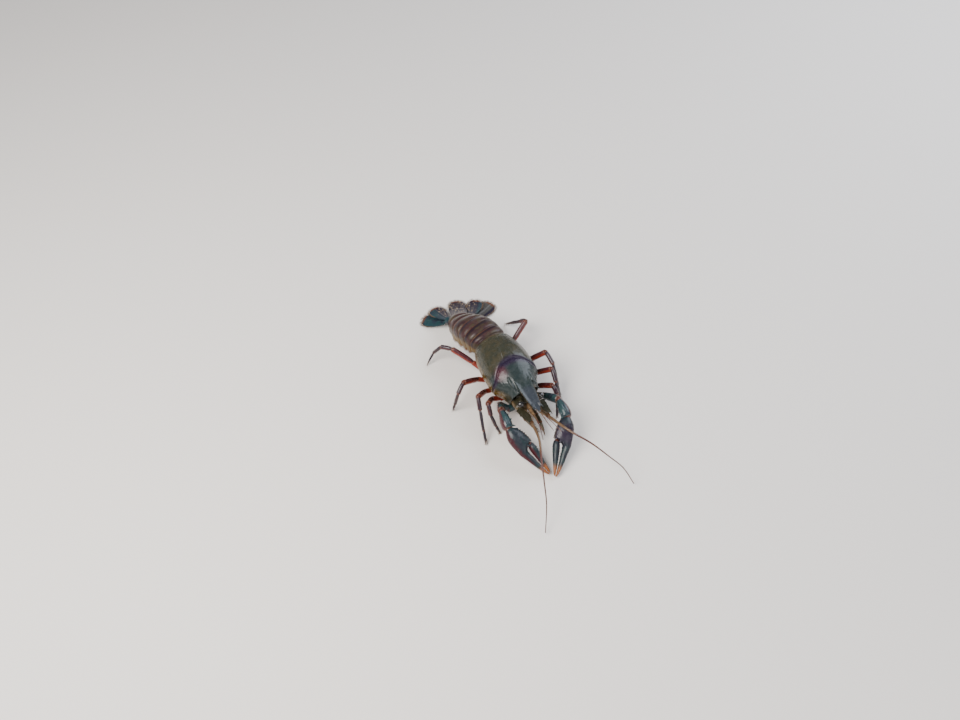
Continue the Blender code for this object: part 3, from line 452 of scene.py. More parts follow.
PORES_PER_MILLIMETRE = 1.7
RELIEF, source, sink = new_group(
    "shell_relief", [("Place", VECTOR), ("Grain", NUMBER)], [("Height", NUMBER)])
place, grain = source.outputs["Place"], source.outputs["Grain"]
pores = add_node(RELIEF, "ShaderNodeTexVoronoi", feature="F1")
pores.inputs["Scale"].default_value = PORES_PER_MILLIMETRE
RELIEF.links.new(place, pores.inputs["Vector"])
pits = remap(RELIEF, pores.outputs["Distance"], 0.04, 0.20)
rough = maths(RELIEF, "MULTIPLY", noise(RELIEF, place, 3.2, 5.0), grain)
RELIEF.links.new(maths(RELIEF, "ADD", pits, rough), sink.inputs["Height"])

WETNESS, source, sink = new_group(
    "water_film", [("Place", VECTOR), ("Wet", NUMBER), ("Dry", NUMBER)], [("Roughness", NUMBER)])
place, wet, dry = (source.outputs[title] for title in ("Place", "Wet", "Dry"))
drying = remap(WETNESS, noise(WETNESS, place, 0.5, 3.0), 0.45, 0.70)
drier = maths(WETNESS, "MULTIPLY", drying, maths(WETNESS, "SUBTRACT", dry, wet))
WETNESS.links.new(maths(WETNESS, "ADD", wet, drier), sink.inputs["Roughness"])
print("node groups:", [group.name for group in bpy.data.node_groups])

# %% [markdown]
# A shell material starts from those groups. Each named layer on top mixes in one colour: most
# are markings, a few are painted sky reflections and glints. Its mask comes from the mesh,
# frayed by noise so that its edge is never a clean line.

# %% A shell material
def use_group(tree, group, **values):
    """A group node with its values; a tuple of three is a colour, anything else a socket."""
    node = add_node(tree, "ShaderNodeGroup")
    node.node_tree = group
    for title, value in values.items():
        if isinstance(value, tuple):
            node.inputs[title].default_value = (*value, 1)
        elif isinstance(value, (int, float)):
            node.inputs[title].default_value = value
        else:
            tree.links.new(value, node.inputs[title])
    return node.outputs[0]


BUMP_STRENGTH, COAT_ROUGHNESS = 0.85, 0.13


def shell_material(name, ground, cloud, fleck, layers, wet=0.22, dry=0.46, grain=0.7, bump=0.08,
                   coat=0.2, shine=0.32):
    """A wet shell: layers are (mask name, colour, strength, fray)."""
    material = bpy.data.materials.new(name)
    material.use_nodes = True
    tree = material.node_tree
    shader = tree.nodes["Principled BSDF"]
    texture = add_node(tree, "ShaderNodeTexCoord")
    scaled = add_node(tree, "ShaderNodeVectorMath", operation="SCALE")
    scaled.inputs["Scale"].default_value = 1 / MM
    tree.links.new(texture.outputs["Object"], scaled.inputs[0])
    place = scaled.outputs["Vector"]
    colour = use_group(tree, CLOUDS, Place=place, Ground=ground, Cloud=cloud, Fleck=fleck)
    for order, (mask, tint, strength, fray) in enumerate(layers):
        reader = add_node(tree, "ShaderNodeAttribute", attribute_name=mask)
        ragged = noise(tree, place, 0.8 + 0.35 * order, 4.0)
        shifted = maths(tree, "MULTIPLY", maths(tree, "SUBTRACT", ragged, 0.5), fray)
        edge = remap(tree, maths(tree, "ADD", reader.outputs["Fac"], shifted), 0.15, 0.85)
        colour = mix_colours(tree, maths(tree, "MULTIPLY", edge, strength), colour, tint)
    tree.links.new(colour, shader.inputs["Base Color"])
    tree.links.new(use_group(tree, WETNESS, Place=place, Wet=wet, Dry=dry),
                   shader.inputs["Roughness"])
    relief = add_node(tree, "ShaderNodeBump")
    relief.inputs["Strength"].default_value = BUMP_STRENGTH
    relief.inputs["Distance"].default_value = bump * MM
    tree.links.new(use_group(tree, RELIEF, Place=place, Grain=grain), relief.inputs["Height"])
    tree.links.new(relief.outputs["Normal"], shader.inputs["Normal"])
    shader.inputs["Specular IOR Level"].default_value = shine
    shader.inputs["Coat Weight"].default_value = coat
    shader.inputs["Coat Roughness"].default_value = COAT_ROUGHNESS
    return material


def speckle(material, mask, tint, per_millimetre, radius):
    """Adds painted glints: pale specks of uneven size and outline where the mask is set."""
    tree = material.node_tree
    base = tree.nodes["Principled BSDF"].inputs["Base Color"]
    place = next(node for node in tree.nodes if node.type == "VECT_MATH").outputs["Vector"]
    cells = add_node(tree, "ShaderNodeTexVoronoi", feature="F1")
    cells.inputs["Scale"].default_value = per_millimetre
    tree.links.new(place, cells.inputs["Vector"])
    reader = add_node(tree, "ShaderNodeAttribute", attribute_name=mask)
    uneven = maths(tree, "MULTIPLY", cells.outputs["Color"], 0.9 * radius)
    centred = maths(tree, "SUBTRACT", noise(tree, place, 2.6, 3.0), 0.5)
    ragged = maths(tree, "MULTIPLY", centred, 1.5 * radius)
    distance = maths(tree, "ADD", maths(tree, "ADD", cells.outputs["Distance"], uneven), ragged)
    inside = remap(tree, distance, 1.15 * radius, 0.5 * radius)
    amount = maths(tree, "MULTIPLY", inside, reader.outputs["Fac"])
    tree.links.new(mix_colours(tree, amount, base.links[0].from_socket, tint), base)


OLIVE = (0.026, 0.027, 0.018)
OCHRE = (0.096, 0.056, 0.014)
PURPLE = (0.016, 0.009, 0.026)
PLUM = (0.048, 0.010, 0.017)
TEAL = (0.014, 0.024, 0.026)
PAINTED_SKY_SHEEN = (0.029, 0.033, 0.043)
TAN = (0.135, 0.080, 0.036)
RUST = (0.140, 0.042, 0.014)
RED = (0.205, 0.022, 0.009)
INK = (0.010, 0.009, 0.018)

# The beak layer, pale lavender on the beak's upward faces, is a painted sky reflection; the other
# layers are markings of the shell.
CARAPACE_LOOK = shell_material(
    "carapace_shell", OLIVE, (0.038, 0.033, 0.019), (0.012, 0.014, 0.012),
    [("flank", OCHRE, 0.85, 0.5), ("head", TEAL, 0.8, 0.5), ("beak", PAINTED_SKY_SHEEN, 0.75, 0.5),
     ("groove", PURPLE, 0.9, 0.5), ("plum", PLUM, 0.9, 0.6), ("rim", TAN, 0.5, 0.4)],
    grain=0.6, bump=0.07, coat=0.14, shine=0.27)
ABDOMEN_LOOK = shell_material(
    "abdomen_shell", (0.042, 0.019, 0.020), (0.044, 0.031, 0.019), (0.016, 0.009, 0.012),
    [("stripe", (0.012, 0.006, 0.011), 0.85, 0.5), ("flap", (0.135, 0.086, 0.034), 0.9, 0.5),
     ("rim", RUST, 0.7, 0.3)], wet=0.28, dry=0.5, coat=0.06, shine=0.2)
# In the tail fan the grey layer is a painted sky reflection on the left outer blade.
FAN_LOOK = shell_material(
    "tail_fan", (0.017, 0.028, 0.040), (0.015, 0.042, 0.047), (0.011, 0.010, 0.020),
    [("ash", (0.062, 0.054, 0.048), 0.8, 0.7), ("middle", (0.014, 0.008, 0.018), 0.95, 0.5),
     # The last layer paints glints: sparse pale patches of light on the fan.
     ("rim", RUST, 0.7, 0.6), ("spark", (0.260, 0.200, 0.120), 0.9, 2.6)],
    wet=0.28, dry=0.46, coat=0.04, shine=0.15)
# Painted glints: pale dots of uneven size on the telson and the inner blades.
speckle(FAN_LOOK, "speck", (0.540, 0.410, 0.250), 0.90, 0.38)
CLAW_LOOK = shell_material(
    "claw_shell", (0.014, 0.019, 0.025), (0.014, 0.028, 0.030), (0.009, 0.008, 0.014),
    [("outer", (0.050, 0.008, 0.011), 0.9, 0.6), ("violet", (0.026, 0.014, 0.030), 0.8, 0.6),
     ("under", TAN, 0.8, 0.5), ("knob", (0.090, 0.070, 0.055), 0.5, 0.3),
     ("tip", (0.230, 0.078, 0.024), 0.95, 0.4)],
    grain=0.8, bump=0.07, wet=0.28, coat=0.10, shine=0.24)
ARM_LOOK = shell_material(
    "arm_shell", (0.016, 0.029, 0.037), (0.020, 0.046, 0.048), (0.010, 0.010, 0.022),
    [("outer", (0.060, 0.010, 0.013), 0.85, 0.6), ("under", TAN, 0.8, 0.5),
     ("joint", RUST, 0.55, 0.5), ("tip", (0.200, 0.090, 0.036), 0.9, 0.2)],
    grain=0.8, bump=0.07)
LEG_LOOK = shell_material(
    "leg_shell", (0.030, 0.012, 0.018), (0.044, 0.018, 0.018), (0.012, 0.008, 0.016),
    [("red", RED, 0.95, 0.4), ("above", INK, 0.75, 0.6), ("joint", RUST, 0.5, 0.5),
     ("tip", (0.120, 0.060, 0.030), 0.8, 0.4)], bump=0.05)
FEELER_LOOK = shell_material(
    "feeler", (0.085, 0.022, 0.015), (0.115, 0.040, 0.020), (0.040, 0.012, 0.012),
    [("root", (0.150, 0.092, 0.044), 0.9, 0.3), ("ring", (0.036, 0.011, 0.011), 0.6, 0.1)],
    bump=0.03)
PALE_LOOK = shell_material(
    "pale_shell", (0.105, 0.068, 0.033), (0.145, 0.100, 0.052), (0.040, 0.031, 0.020),
    [("olive", (0.015, 0.016, 0.009), 0.92, 0.6), ("joint", RUST, 0.6, 0.5)], bump=0.05, coat=0.1,
    shine=0.25)
print("shell materials:", len([m for m in bpy.data.materials if m.use_nodes]))

# %% [markdown]
# Eyes are near black and very glossy, with thousands of tiny facets that only show as a fine
# grain. Hair is thin, tan and a little see-through on the real animal; here it is a plain
# warm brown that varies from place to place.

# %% Eye and hair materials
def plain_look(name, colour, second, scale, roughness, coat):
    """A material of two colours mixed by noise."""
    material = bpy.data.materials.new(name)
    material.use_nodes = True
    tree = material.node_tree
    shader = tree.nodes["Principled BSDF"]
    texture = add_node(tree, "ShaderNodeTexCoord")
    mixed = mix_colours(tree, noise(tree, texture.outputs["Object"], scale / MM, 3.0), colour,
                        second)
    tree.links.new(mixed, shader.inputs["Base Color"])
    shader.inputs["Roughness"].default_value = roughness
    shader.inputs["Coat Weight"].default_value = coat
    shader.inputs["Coat Roughness"].default_value = 0.03
    return material, tree, shader, texture


FACETS_PER_MILLIMETRE, FACET_DEPTH = 11, 0.01
EYE_LOOK, tree, shader, texture = plain_look(
    "eye", (0.003, 0.003, 0.004), (0.012, 0.009, 0.008), 1.5, 0.16, 0.6)
facets = add_node(tree, "ShaderNodeTexVoronoi", feature="F1")
facets.inputs["Scale"].default_value = FACETS_PER_MILLIMETRE / MM
tree.links.new(texture.outputs["Object"], facets.inputs["Vector"])
relief = add_node(tree, "ShaderNodeBump")
relief.inputs["Strength"].default_value = 0.4
relief.inputs["Distance"].default_value = FACET_DEPTH * MM
tree.links.new(facets.outputs["Distance"], relief.inputs["Height"])
tree.links.new(relief.outputs["Normal"], shader.inputs["Normal"])
HAIR_LOOK = plain_look("hair", (0.150, 0.090, 0.042), (0.070, 0.038, 0.020), 0.8, 0.5, 0.1)[0]
print("other materials: eye, hair")

# %% [markdown]
# The carapace is one shield over head and thorax. It is an arch that swells in the middle,
# pinched by the neck groove, which runs down and forward on each flank. By hand: grow it from
# arched rings, hollow the front so that the face can sit in it, push the beak, the ridges
# behind the eyes and the spines into it, melt everything, then cut the grooves.

# %% Carapace sizes
CARAPACE_REAR, CARAPACE_FRONT, CARAPACE_FLOOR = 15.5, -14.6, 7.0
FRONT_LEAN, FRONT_LEVEL = 0.28, 14.0
GROOVE_SWEEP, SWEEP_CENTRE, SWEEP_SPREAD = 7.5, 2, 12
ARCH_SIDES, ARCH_FULLNESS, FLANK_GAIN = 64, 0.88, 1.1
CARAPACE_WIDTH = [(-14.6, 6.9), (-10, 8.5), (-5, 10.0), (0, 11.1), (7, 11.3), (12, 10.3),
                  (15.5, 8.7)]
CARAPACE_TOP = [(-14.6, 21.7), (-10, 22.6), (-5, 23.4), (0, 24.0), (8, 23.5), (15.5, 21.4)]
ROSTRUM = [(-9.5, 3.3, 22.6, 2.4), (-14.0, 3.4, 22.3, 2.2), (-17.5, 3.2, 21.7, 1.8),
           (-22.0, 2.6, 20.9, 1.5), (-25.2, 1.9, 20.4, 1.2), (-26.4, 1.0, 20.1, 0.9),
           (-28.1, 0.25, 19.6, 0.5)]
CARAPACE_SPINES = [((1.5, -23.8, 20.1), (2.1, -27.2, 20.7), 0.6),
                   ((8.7, -5.2, 15.2), (10.4, -7.6, 15.6), 0.65),
                   ((8.3, -6.6, 12.2), (9.9, -8.8, 12.4), 0.55),
                   ((5.9, -13.2, 16.6), (6.8, -16.8, 16.9), 0.6)]
EYE_RIDGE = [(4.6, -8.0, 21.6), (4.7, -10.5, 21.4), (4.75, -13.2, 21.2), (4.8, -16.4, 21.5)]


def sweep_at(place):
    """How far forward the ring at a place runs on the flank."""
    return GROOVE_SWEEP * max(0.0, 1 - abs(place - SWEEP_CENTRE) / SWEEP_SPREAD)


def lean_at(place):
    """How much of the front margin's lean the ring at a place has."""
    return min(1.0, max(0.0, (place - SWEEP_CENTRE) / (CARAPACE_FRONT - SWEEP_CENTRE)))


def carapace_ring(place):
    """One section of the shield: an arch with a flat floor."""
    half, top = read_along(CARAPACE_WIDTH, place), read_along(CARAPACE_TOP, place)
    top -= 0.7 * ramp(place, -9.0, -13.5)
    middle = CARAPACE_FLOOR + 0.40 * (top - CARAPACE_FLOOR)
    ring = []
    for k in range(ARCH_SIDES):
        angle = 2 * math.pi * k / ARCH_SIDES
        across, rise = math.sin(angle), math.cos(angle)
        if rise >= 0:
            z = middle + (top - middle) * rise**0.9
        else:
            z = max(CARAPACE_FLOOR, middle + (middle - CARAPACE_FLOOR) * 1.45 * rise)
        flank = min(1.0, abs(across) * FLANK_GAIN)
        y = place - sweep_at(place) * flank**2 - lean_at(place) * FRONT_LEAN * (z - FRONT_LEVEL)
        ring.append(Vector((half * math.copysign(abs(across) ** ARCH_FULLNESS, across), y, z)))
    return ring


def place_on_shield(spot):
    """The ring that a point of the shield belongs to."""
    place = spot.y
    for _ in range(4):
        across = min(1.0, abs(spot.x) / read_along(CARAPACE_WIDTH, place)) ** (1 / ARCH_FULLNESS)
        flank = min(1.0, across * FLANK_GAIN)
        lean = lean_at(place) * FRONT_LEAN * (spot.z - FRONT_LEVEL)
        place = spot.y + sweep_at(place) * flank**2 + lean
    return place


print("carapace length:", round(CARAPACE_REAR - ROSTRUM[-1][0], 1), "mm with the beak")

# %% Hollow ends and the beak's section
def hollow_end(piece, towards, depth, wall):
    """Insets the end face that looks along a direction and pushes it in, which leaves a rim."""
    bpy.ops.object.mode_set(mode="EDIT")
    bpy.ops.mesh.select_mode(type="FACE")
    mesh = bmesh.from_edit_mesh(piece.data)
    end = max(mesh.faces, key=lambda f: f.normal.dot(towards) * (len(f.verts) > 4) * f.calc_area())
    for face in mesh.faces:
        face.select = face == end
    bmesh.update_edit_mesh(piece.data)
    bpy.ops.mesh.inset(thickness=wall)
    bpy.ops.mesh.extrude_region_move(TRANSFORM_OT_translate={"value": -towards * depth})
    bpy.ops.mesh.select_mode(type="VERT")
    bpy.ops.object.mode_set(mode="OBJECT")


def rostrum_ring(y):
    """One section of the beak: a trough between raised margins, rounded below."""
    half, top, depth = (read_column(ROSTRUM, y, column) for column in (1, 2, 3))
    ring = []
    for t in spread(-1, 1, 13):
        trough = top - 0.17 * half * (1 - abs(t) ** 3)
        ring.append(Vector((t * half, y, trough + 0.04 * half * (1 - abs(t)) ** 2)))
    for t in spread(0.94, -0.94, 9):
        ring.append(Vector((t * half, y, top - depth * (0.42 + 0.58 * math.sqrt(1 - t * t)))))
    return ring


print("points in a section of the beak:", len(rostrum_ring(ROSTRUM[0][0])))

# %% Carapace form
OUT = Vector((0, -1, -FRONT_LEAN)).normalized()
SHELL_WALL = 0.7
shield = grow("shield", [carapace_ring(place)
                         for place in spread(CARAPACE_REAR, CARAPACE_FRONT, 60)])
hollow_end(shield, OUT, 2.2, SHELL_WALL)
hollow_end(shield, Vector((0, 1, 0)), 1.8, SHELL_WALL)
forms = [shield, grow("beak", [rostrum_ring(y) for y in spread(ROSTRUM[0][0], ROSTRUM[-1][0], 40)])]
for side in (-1, 1):
    for base, tip, radius in CARAPACE_SPINES:
        forms.append(thorn(mirrored(base, side), mirrored(tip, side), radius))
    path = smooth_path([mirrored(spot, side) for spot in EYE_RIDGE], 12)
    widths = [(0.95 - 0.055 * i, 0.80 - 0.045 * i) for i in range(13)]
    forms.append(grow("eye_ridge", rings_on(path, widths, 12)))
carapace = melt("carapace", forms, 0.23, rounds=4)
print("carapace faces:", len(carapace.data.polygons))

# %% [markdown]
# Three grooves mark the shield: the deep neck groove, two shallow lines that run back from it
# on each side of the midline, and a furrow that sets off the rear rim. The same places give
# the markings: purple along the neck groove, ochre low on the flanks, teal over the head. A
# painted sky reflection in pale lavender lies on the upward faces of the beak.

# %% Grooves and granules
def shield_depth(spot, normal):
    """Depth of the grooves at a point of the shield."""
    if spot.y < -15.5 or spot.z < CARAPACE_FLOOR + 1.2:
        return 0.0
    place = place_on_shield(spot)
    low_fade = ramp(spot.z, 8.6, 11.5)
    depth = 0.72 * bump_at(place, 0.0, 0.55) * low_fade + 0.18 * bump_at(place, 0.0, 2.2) * low_fade
    if normal.z > 0.3:
        back_line = 1.15 + 0.022 * (place - 8.5) ** 2
        depth += (0.22 * bump_at(abs(spot.x), back_line, 0.28) * ramp(place, 0.8, 2.2)
                  * ramp(place, 14.6, 13.6))
    depth += 0.24 * bump_at(place, 14.1, 0.35)
    side_line = 13.4 - 0.10 * place
    depth += (0.16 * bump_at(spot.z, side_line, 0.4) * ramp(place, -2, -3.5)
              * ramp(place, -11, -9.5) * (normal.z < 0.6))
    return depth


def granules(piece, count, seed, where, size, height):
    """Raises small rounded grains on the vertices that lie near seeded spots of the surface."""
    draw = random.Random(seed)
    usable = [v.co.copy() for v in piece.data.vertices if where(v.co, v.normal)]
    spots = KDTree(count)
    for index in range(count):
        spots.insert(draw.choice(usable), index)
    spots.balance()
    carve(piece, lambda p, n: -height * math.exp(-(spots.find(p)[2] / size) ** 2))


print("depth of the neck groove:",
      round(shield_depth(Vector((0, 0, 24)), Vector((0, 0, 1))), 2), "mm")

# %% Carapace grooves and markings
carve(carapace, shield_depth)
granules(carapace, 1500, 3, lambda p, n: p.y > -14 and 8.5 < p.z < 20.5 and abs(n.x) > 0.25, 0.26,
         0.07)
granules(carapace, 500, 4, lambda p, n: p.y > -16 and p.z > 18, 0.24, 0.05)
stain(carapace, "groove",
      lambda p, n: bump_at(place_on_shield(p), -0.6, 2.1) * ramp(p.z, 9, 15) if p.y > -14 else 0.0)
stain(carapace, "flank", lambda p, n: ramp(p.z, 19.0, 12.5) * ramp(p.y, -15.0, -9.0))
stain(carapace, "head", lambda p, n: ramp(p.y, -0.5, -4.5) * ramp(p.z, 14.0, 19.5))
# Painted sky reflection: pale lavender on the upward faces of the beak.
stain(carapace, "beak", lambda p, n: ramp(p.y, -12.0, -19.0) * ramp(abs(p.x), 4.0, 1.4)
      * ramp(n.z, 0.2, 0.7))
stain(carapace, "plum", lambda p, n: bump_at(p.x, -6.4, 3.0) * bump_at(p.y, -4.6, 3.6)
      * ramp(p.z, 12, 17))
stain(carapace, "rim", lambda p, n: max(ramp(p.z, 8.6, 7.6) * ramp(p.y, -15.0, -12.0),
                                        ramp(p.y, 14.9, 15.4)))
settle(carapace, CARAPACE_LOOK, "carapace_shell", "carapace")
print("carapace triangles:", TRIANGLES["carapace"])

# %% [markdown]
# The face is the block between the beak and the mouth. It carries the eyes on short movable
# stalks, the small forked feelers and the big antennae. It starts as a grown block and gets
# two cheeks and the upper lip melted into it.

# %% Face
FACE_FRONT, FACE_LEVEL = -18.6, 13.0
FACE_OUTLINE = [(0, 8.6), (3.6, 8.6), (5.7, 9.8), (5.9, 12.4), (4.4, 14.6), (3.4, 16.2), (0, 16.6)]
FACE_STEPS = ((5.2, 0.98), (3.5, 1.0), (1.8, 1.0), (0.7, 0.98), (0.15, 0.92), (0, 0.82), (0, 0.4))
FACE_KNOBS = [((4.2, -18.3, 9.9), (1.3, 1.1, 0.9)), ((1.5, -18.0, 8.9), (1.3, 1.4, 0.8)),
              ((5.3, -17.6, 12.2), (0.9, 1.3, 1.2)), ((2.4, -12.6, 17.2), (3.6, 3.0, 3.2))]


def face_plane(z):
    """y of the face at a height."""
    return FACE_FRONT - FRONT_LEAN * (z - FACE_LEVEL)


def on_face(spot, side):
    """The place on the face of a spot given as (across, up)."""
    return mirrored((spot[0], face_plane(spot[1]), spot[1]), side)


def face_rings():
    """Sections of the face from inside the carapace to its front."""
    table = [(i, *point) for i, point in enumerate(FACE_OUTLINE)]
    half = [(read_column(table, t, 1), read_column(table, t, 2)) for t in spread(0, 6, 19)]
    wide = half + [(-x, z) for x, z in reversed(half[1:-1])]
    rings = []
    for back, size in FACE_STEPS:
        heights = [FACE_LEVEL + (z - FACE_LEVEL) * size for _, z in wide]
        rings.append([Vector((x * size, face_plane(h) + back, h))
                      for (x, _), h in zip(wide, heights)])
    return rings


forms = [grow("face", face_rings())]
for side in (-1, 1):
    forms += [knob(mirrored(centre, side), size) for centre, size in FACE_KNOBS]
forms.append(thorn((0, -18.2, 10.4), (0, -20.0, 10.2), 0.9))
face = melt("head_front", forms, 0.22)
stain(face, "olive", lambda p, n: ramp(p.z, 11.5, 14.5))
settle(face, PALE_LOOK, "pale_shell", "head_front")
print("face triangles:", TRIANGLES["head_front"])

# %% [markdown]
# An eye is a black dome on a stalk. The dome is a sphere primitive flattened a little; the
# stalk is a short limb with a collar, which the dome sits in. They are two pieces because
# their finish differs so much.

# %% Eyes
EYE_CENTRE, EYE_RADIUS, EYE_ROOT = (4.9, -20.1, 17.7), 1.5, (2.0, -15.0, 16.3)
# Share of the stalk's length, radius
EYE_STALK = [(0, 0.8), (0.25, 0.82), (0.5, 0.86), (0.68, 1.12), (0.80, 1.32), (0.90, 1.2)]
for side, tag in ((1, "l"), (-1, "r")):
    centre = mirrored(EYE_CENTRE, side)
    root = mirrored(EYE_ROOT, side)
    lean = (centre - root).normalized()
    path = [root.lerp(centre, share) for share, _ in EYE_STALK]
    stalk = soften(grow("eye_stalk_" + tag,
                        rings_on(path, [(radius, radius) for _, radius in EYE_STALK], 16)))
    stain(stalk, "olive", lambda p, n: ramp(n.z, -0.2, 0.6))
    settle(stalk, PALE_LOOK, "pale_shell")
    bpy.ops.object.select_all(action="DESELECT")
    bpy.ops.mesh.primitive_uv_sphere_add(segments=40, ring_count=24, radius=EYE_RADIUS)
    dome = bpy.context.object
    dome.name = dome.data.name = "eye_" + tag
    turn = lean.to_track_quat("Z", "Y").to_matrix().to_4x4()
    dome.data.transform(Matrix.Translation(centre) @ turn @ Matrix.Diagonal((1.0, 0.95, 0.82, 1)))
    settle(dome, EYE_LOOK, "eye", "eye_" + tag)
print("eyes set", EYE_CENTRE[0] * 2, "mm apart")

# %% [markdown]
# A leg or feeler of a crayfish is a row of stiff sleeves. Each sleeve starts narrow inside the
# wider end of the one before it, and ends in a small lip. So one profile, read along every
# sleeve, makes coxa, thigh, shin and toe alike, and the soft skin between two sleeves is a
# small reddish ball that shows only where the joint opens.

# %% Sleeves of a limb
SLEEVE = [(0.0, 0.45), (0.03, 0.70), (0.10, 0.86), (0.25, 0.95), (0.5, 1.0), (0.78, 0.99),
          (0.90, 1.03), (0.96, 1.06), (1.0, 0.98), (0.985, 0.76), (0.94, 0.5)]
TOE = [(0.0, 0.42), (0.04, 0.72), (0.12, 0.92), (0.3, 1.0), (0.55, 0.84), (0.78, 0.60),
       (0.92, 0.38), (1.0, 0.16)]
# Centre and radius of each soft skin, noted as the limbs are made
MEMBRANES = []


def sleeve(start, end, first, last, profile=SLEEVE, sides=16, bow=0.0, flat=0.88, marks=None):
    """One stiff sleeve from start to end; first and last are its radii, bow its upward bend."""
    start, end = Vector(start), Vector(end)
    axis = (end - start).normalized()
    lifted = Vector((0, 0, 1))
    lifted = (lifted - axis * lifted.dot(axis)).normalized()
    across = axis.cross(lifted)
    rings = []
    for share, swell in profile:
        spot = start.lerp(end, share) + lifted * (bow * math.sin(math.pi * share))
        radius = (first + (last - first) * share) * swell
        rings.append(oval(spot, across, lifted, radius * flat, radius, sides))
    form = soften(grow("sleeve", rings))
    length = (end - start).length
    marks = {"above": 1.0, "red": 0.0, "joint": 1.0, "tip": 0.0, **(marks or {})}

    def share_of(p):
        return (p - start).dot(axis) / length

    stain(form, "above", lambda p, n: ramp(n.z, 0.05, 0.75) * marks["above"])
    stain(form, "red", lambda p, n: marks["red"])
    stain(form, "joint", lambda p, n: ramp(share_of(p), 0.88, 0.98) * marks["joint"])
    stain(form, "tip", lambda p, n: ramp(share_of(p), 0.55, 0.95) * marks["tip"])
    return form


print("points in a sleeve's profile:", len(SLEEVE))

# %% [markdown]
# Eight walking legs. The chain of each runs hip, turn, knee, wrist and foot, at the places
# that the photo gives. The first two pairs end in small pincers, the last two in a single
# pointed toe. The thighs are bright red below and ink blue above; the shins and toes are
# a dark brown.

# %% Places of the legs
STERNUM_EDGE = 4.2
LEGS = {
    "leg_2_l": [(-7.0, 5.0), (9.9, -8.9, 7.0), (14.1, -15.0, 12.4), (14.3, -18.4, 10.0),
                (11.9, -24.2, 0)],
    "leg_3_l": [(-1.3, 5.0), (11.8, -2.6, 7.4), (17.4, -8.1, 14.0), (16.7, -13.2, 11.0),
                (15.3, -21.3, 0)],
    "leg_4_l": [(4.4, 5.0), (12.6, 4.6, 7.4), (19.2, 0.6, 15.0), (19.5, -5.4, 13.0),
                (18.2, -16.3, 0)],
    "leg_5_l": [(10.0, 5.0), (11.7, 17.4, 7.4), (20.4, 21.1, 13.0), (19.5, 24.0, 10.0),
                (15.8, 32.2, 0)],
    "leg_2_r": [(-6.2, 5.0), (11.2, -5.7, 7.0), (16.1, -11.3, 14.0), (16.3, -14.2, 9.4),
                (14.6, -19.8, 0)],
    "leg_3_r": [(-0.9, 5.0), (12.2, -1.0, 7.2), (18.6, -6.7, 15.0), (19.7, -10.8, 11.0),
                (22.6, -22.0, 0)],
    "leg_4_r": [(4.5, 5.0), (12.2, 6.3, 7.2), (20.8, 3.3, 14.0), (24.4, 1.0, 11.0), (27.5, 0.3, 0)],
    "leg_5_r": [(10.0, 5.0), (9.8, 15.4, 7.2), (16.0, 23.8, 11.0), (19.6, 27.8, 10.0),
                (27.2, 27.6, 0)],
}
SHANK_BEND = {"leg_5_r": (22.6, 29.7, 5.0)}
HIP_LENGTH = 2.9
LEG_RADIUS = 1.28
PINCER_LEGS = ("leg_2", "leg_3")
TOE_ROOT = 0.60
FOOT_REST = 0.2
print("legs:", len(LEGS))

# %% Roots for short hairs
# Each root: place, direction, length, (stretch of skin, share around it, share along it)
HAIR_ROOTS = []
stretches = itertools.count()


def bristle(start, end, radius, count, seed, length=0.7):
    """Notes the roots of short hairs round a straight stretch of limb."""
    draw = random.Random(seed)
    stretch = next(stretches)
    axis = (end - start).normalized()
    side = axis.orthogonal().normalized()
    over = axis.cross(side)
    for _ in range(count):
        share, angle = draw.uniform(0.1, 0.98), draw.uniform(0, 2 * math.pi)
        out = side * math.cos(angle) + over * math.sin(angle)
        lie = (out * draw.uniform(0.5, 0.9) + axis * draw.uniform(0.5, 1.0)).normalized()
        HAIR_ROOTS.append((start.lerp(end, share) + out * radius * 0.85, lie,
                           length * draw.uniform(0.6, 1.2),
                           (stretch, angle / (2 * math.pi), share)))


print("hair roots noted:", len(HAIR_ROOTS))

# %% Walking legs
THIN_TOE = {"tip": 1, "joint": 0}
# Radii of shin and toe as shares of the leg's, flatness of the shin, upward bend of the toe
STRAIGHT_SHANK = ((0.82, 0.62), (0.57, 0.32), 0.8, 0.15)
BENT_SHANK = ((0.80, 0.58), (0.56, 0.30), 0.88, 0.3)


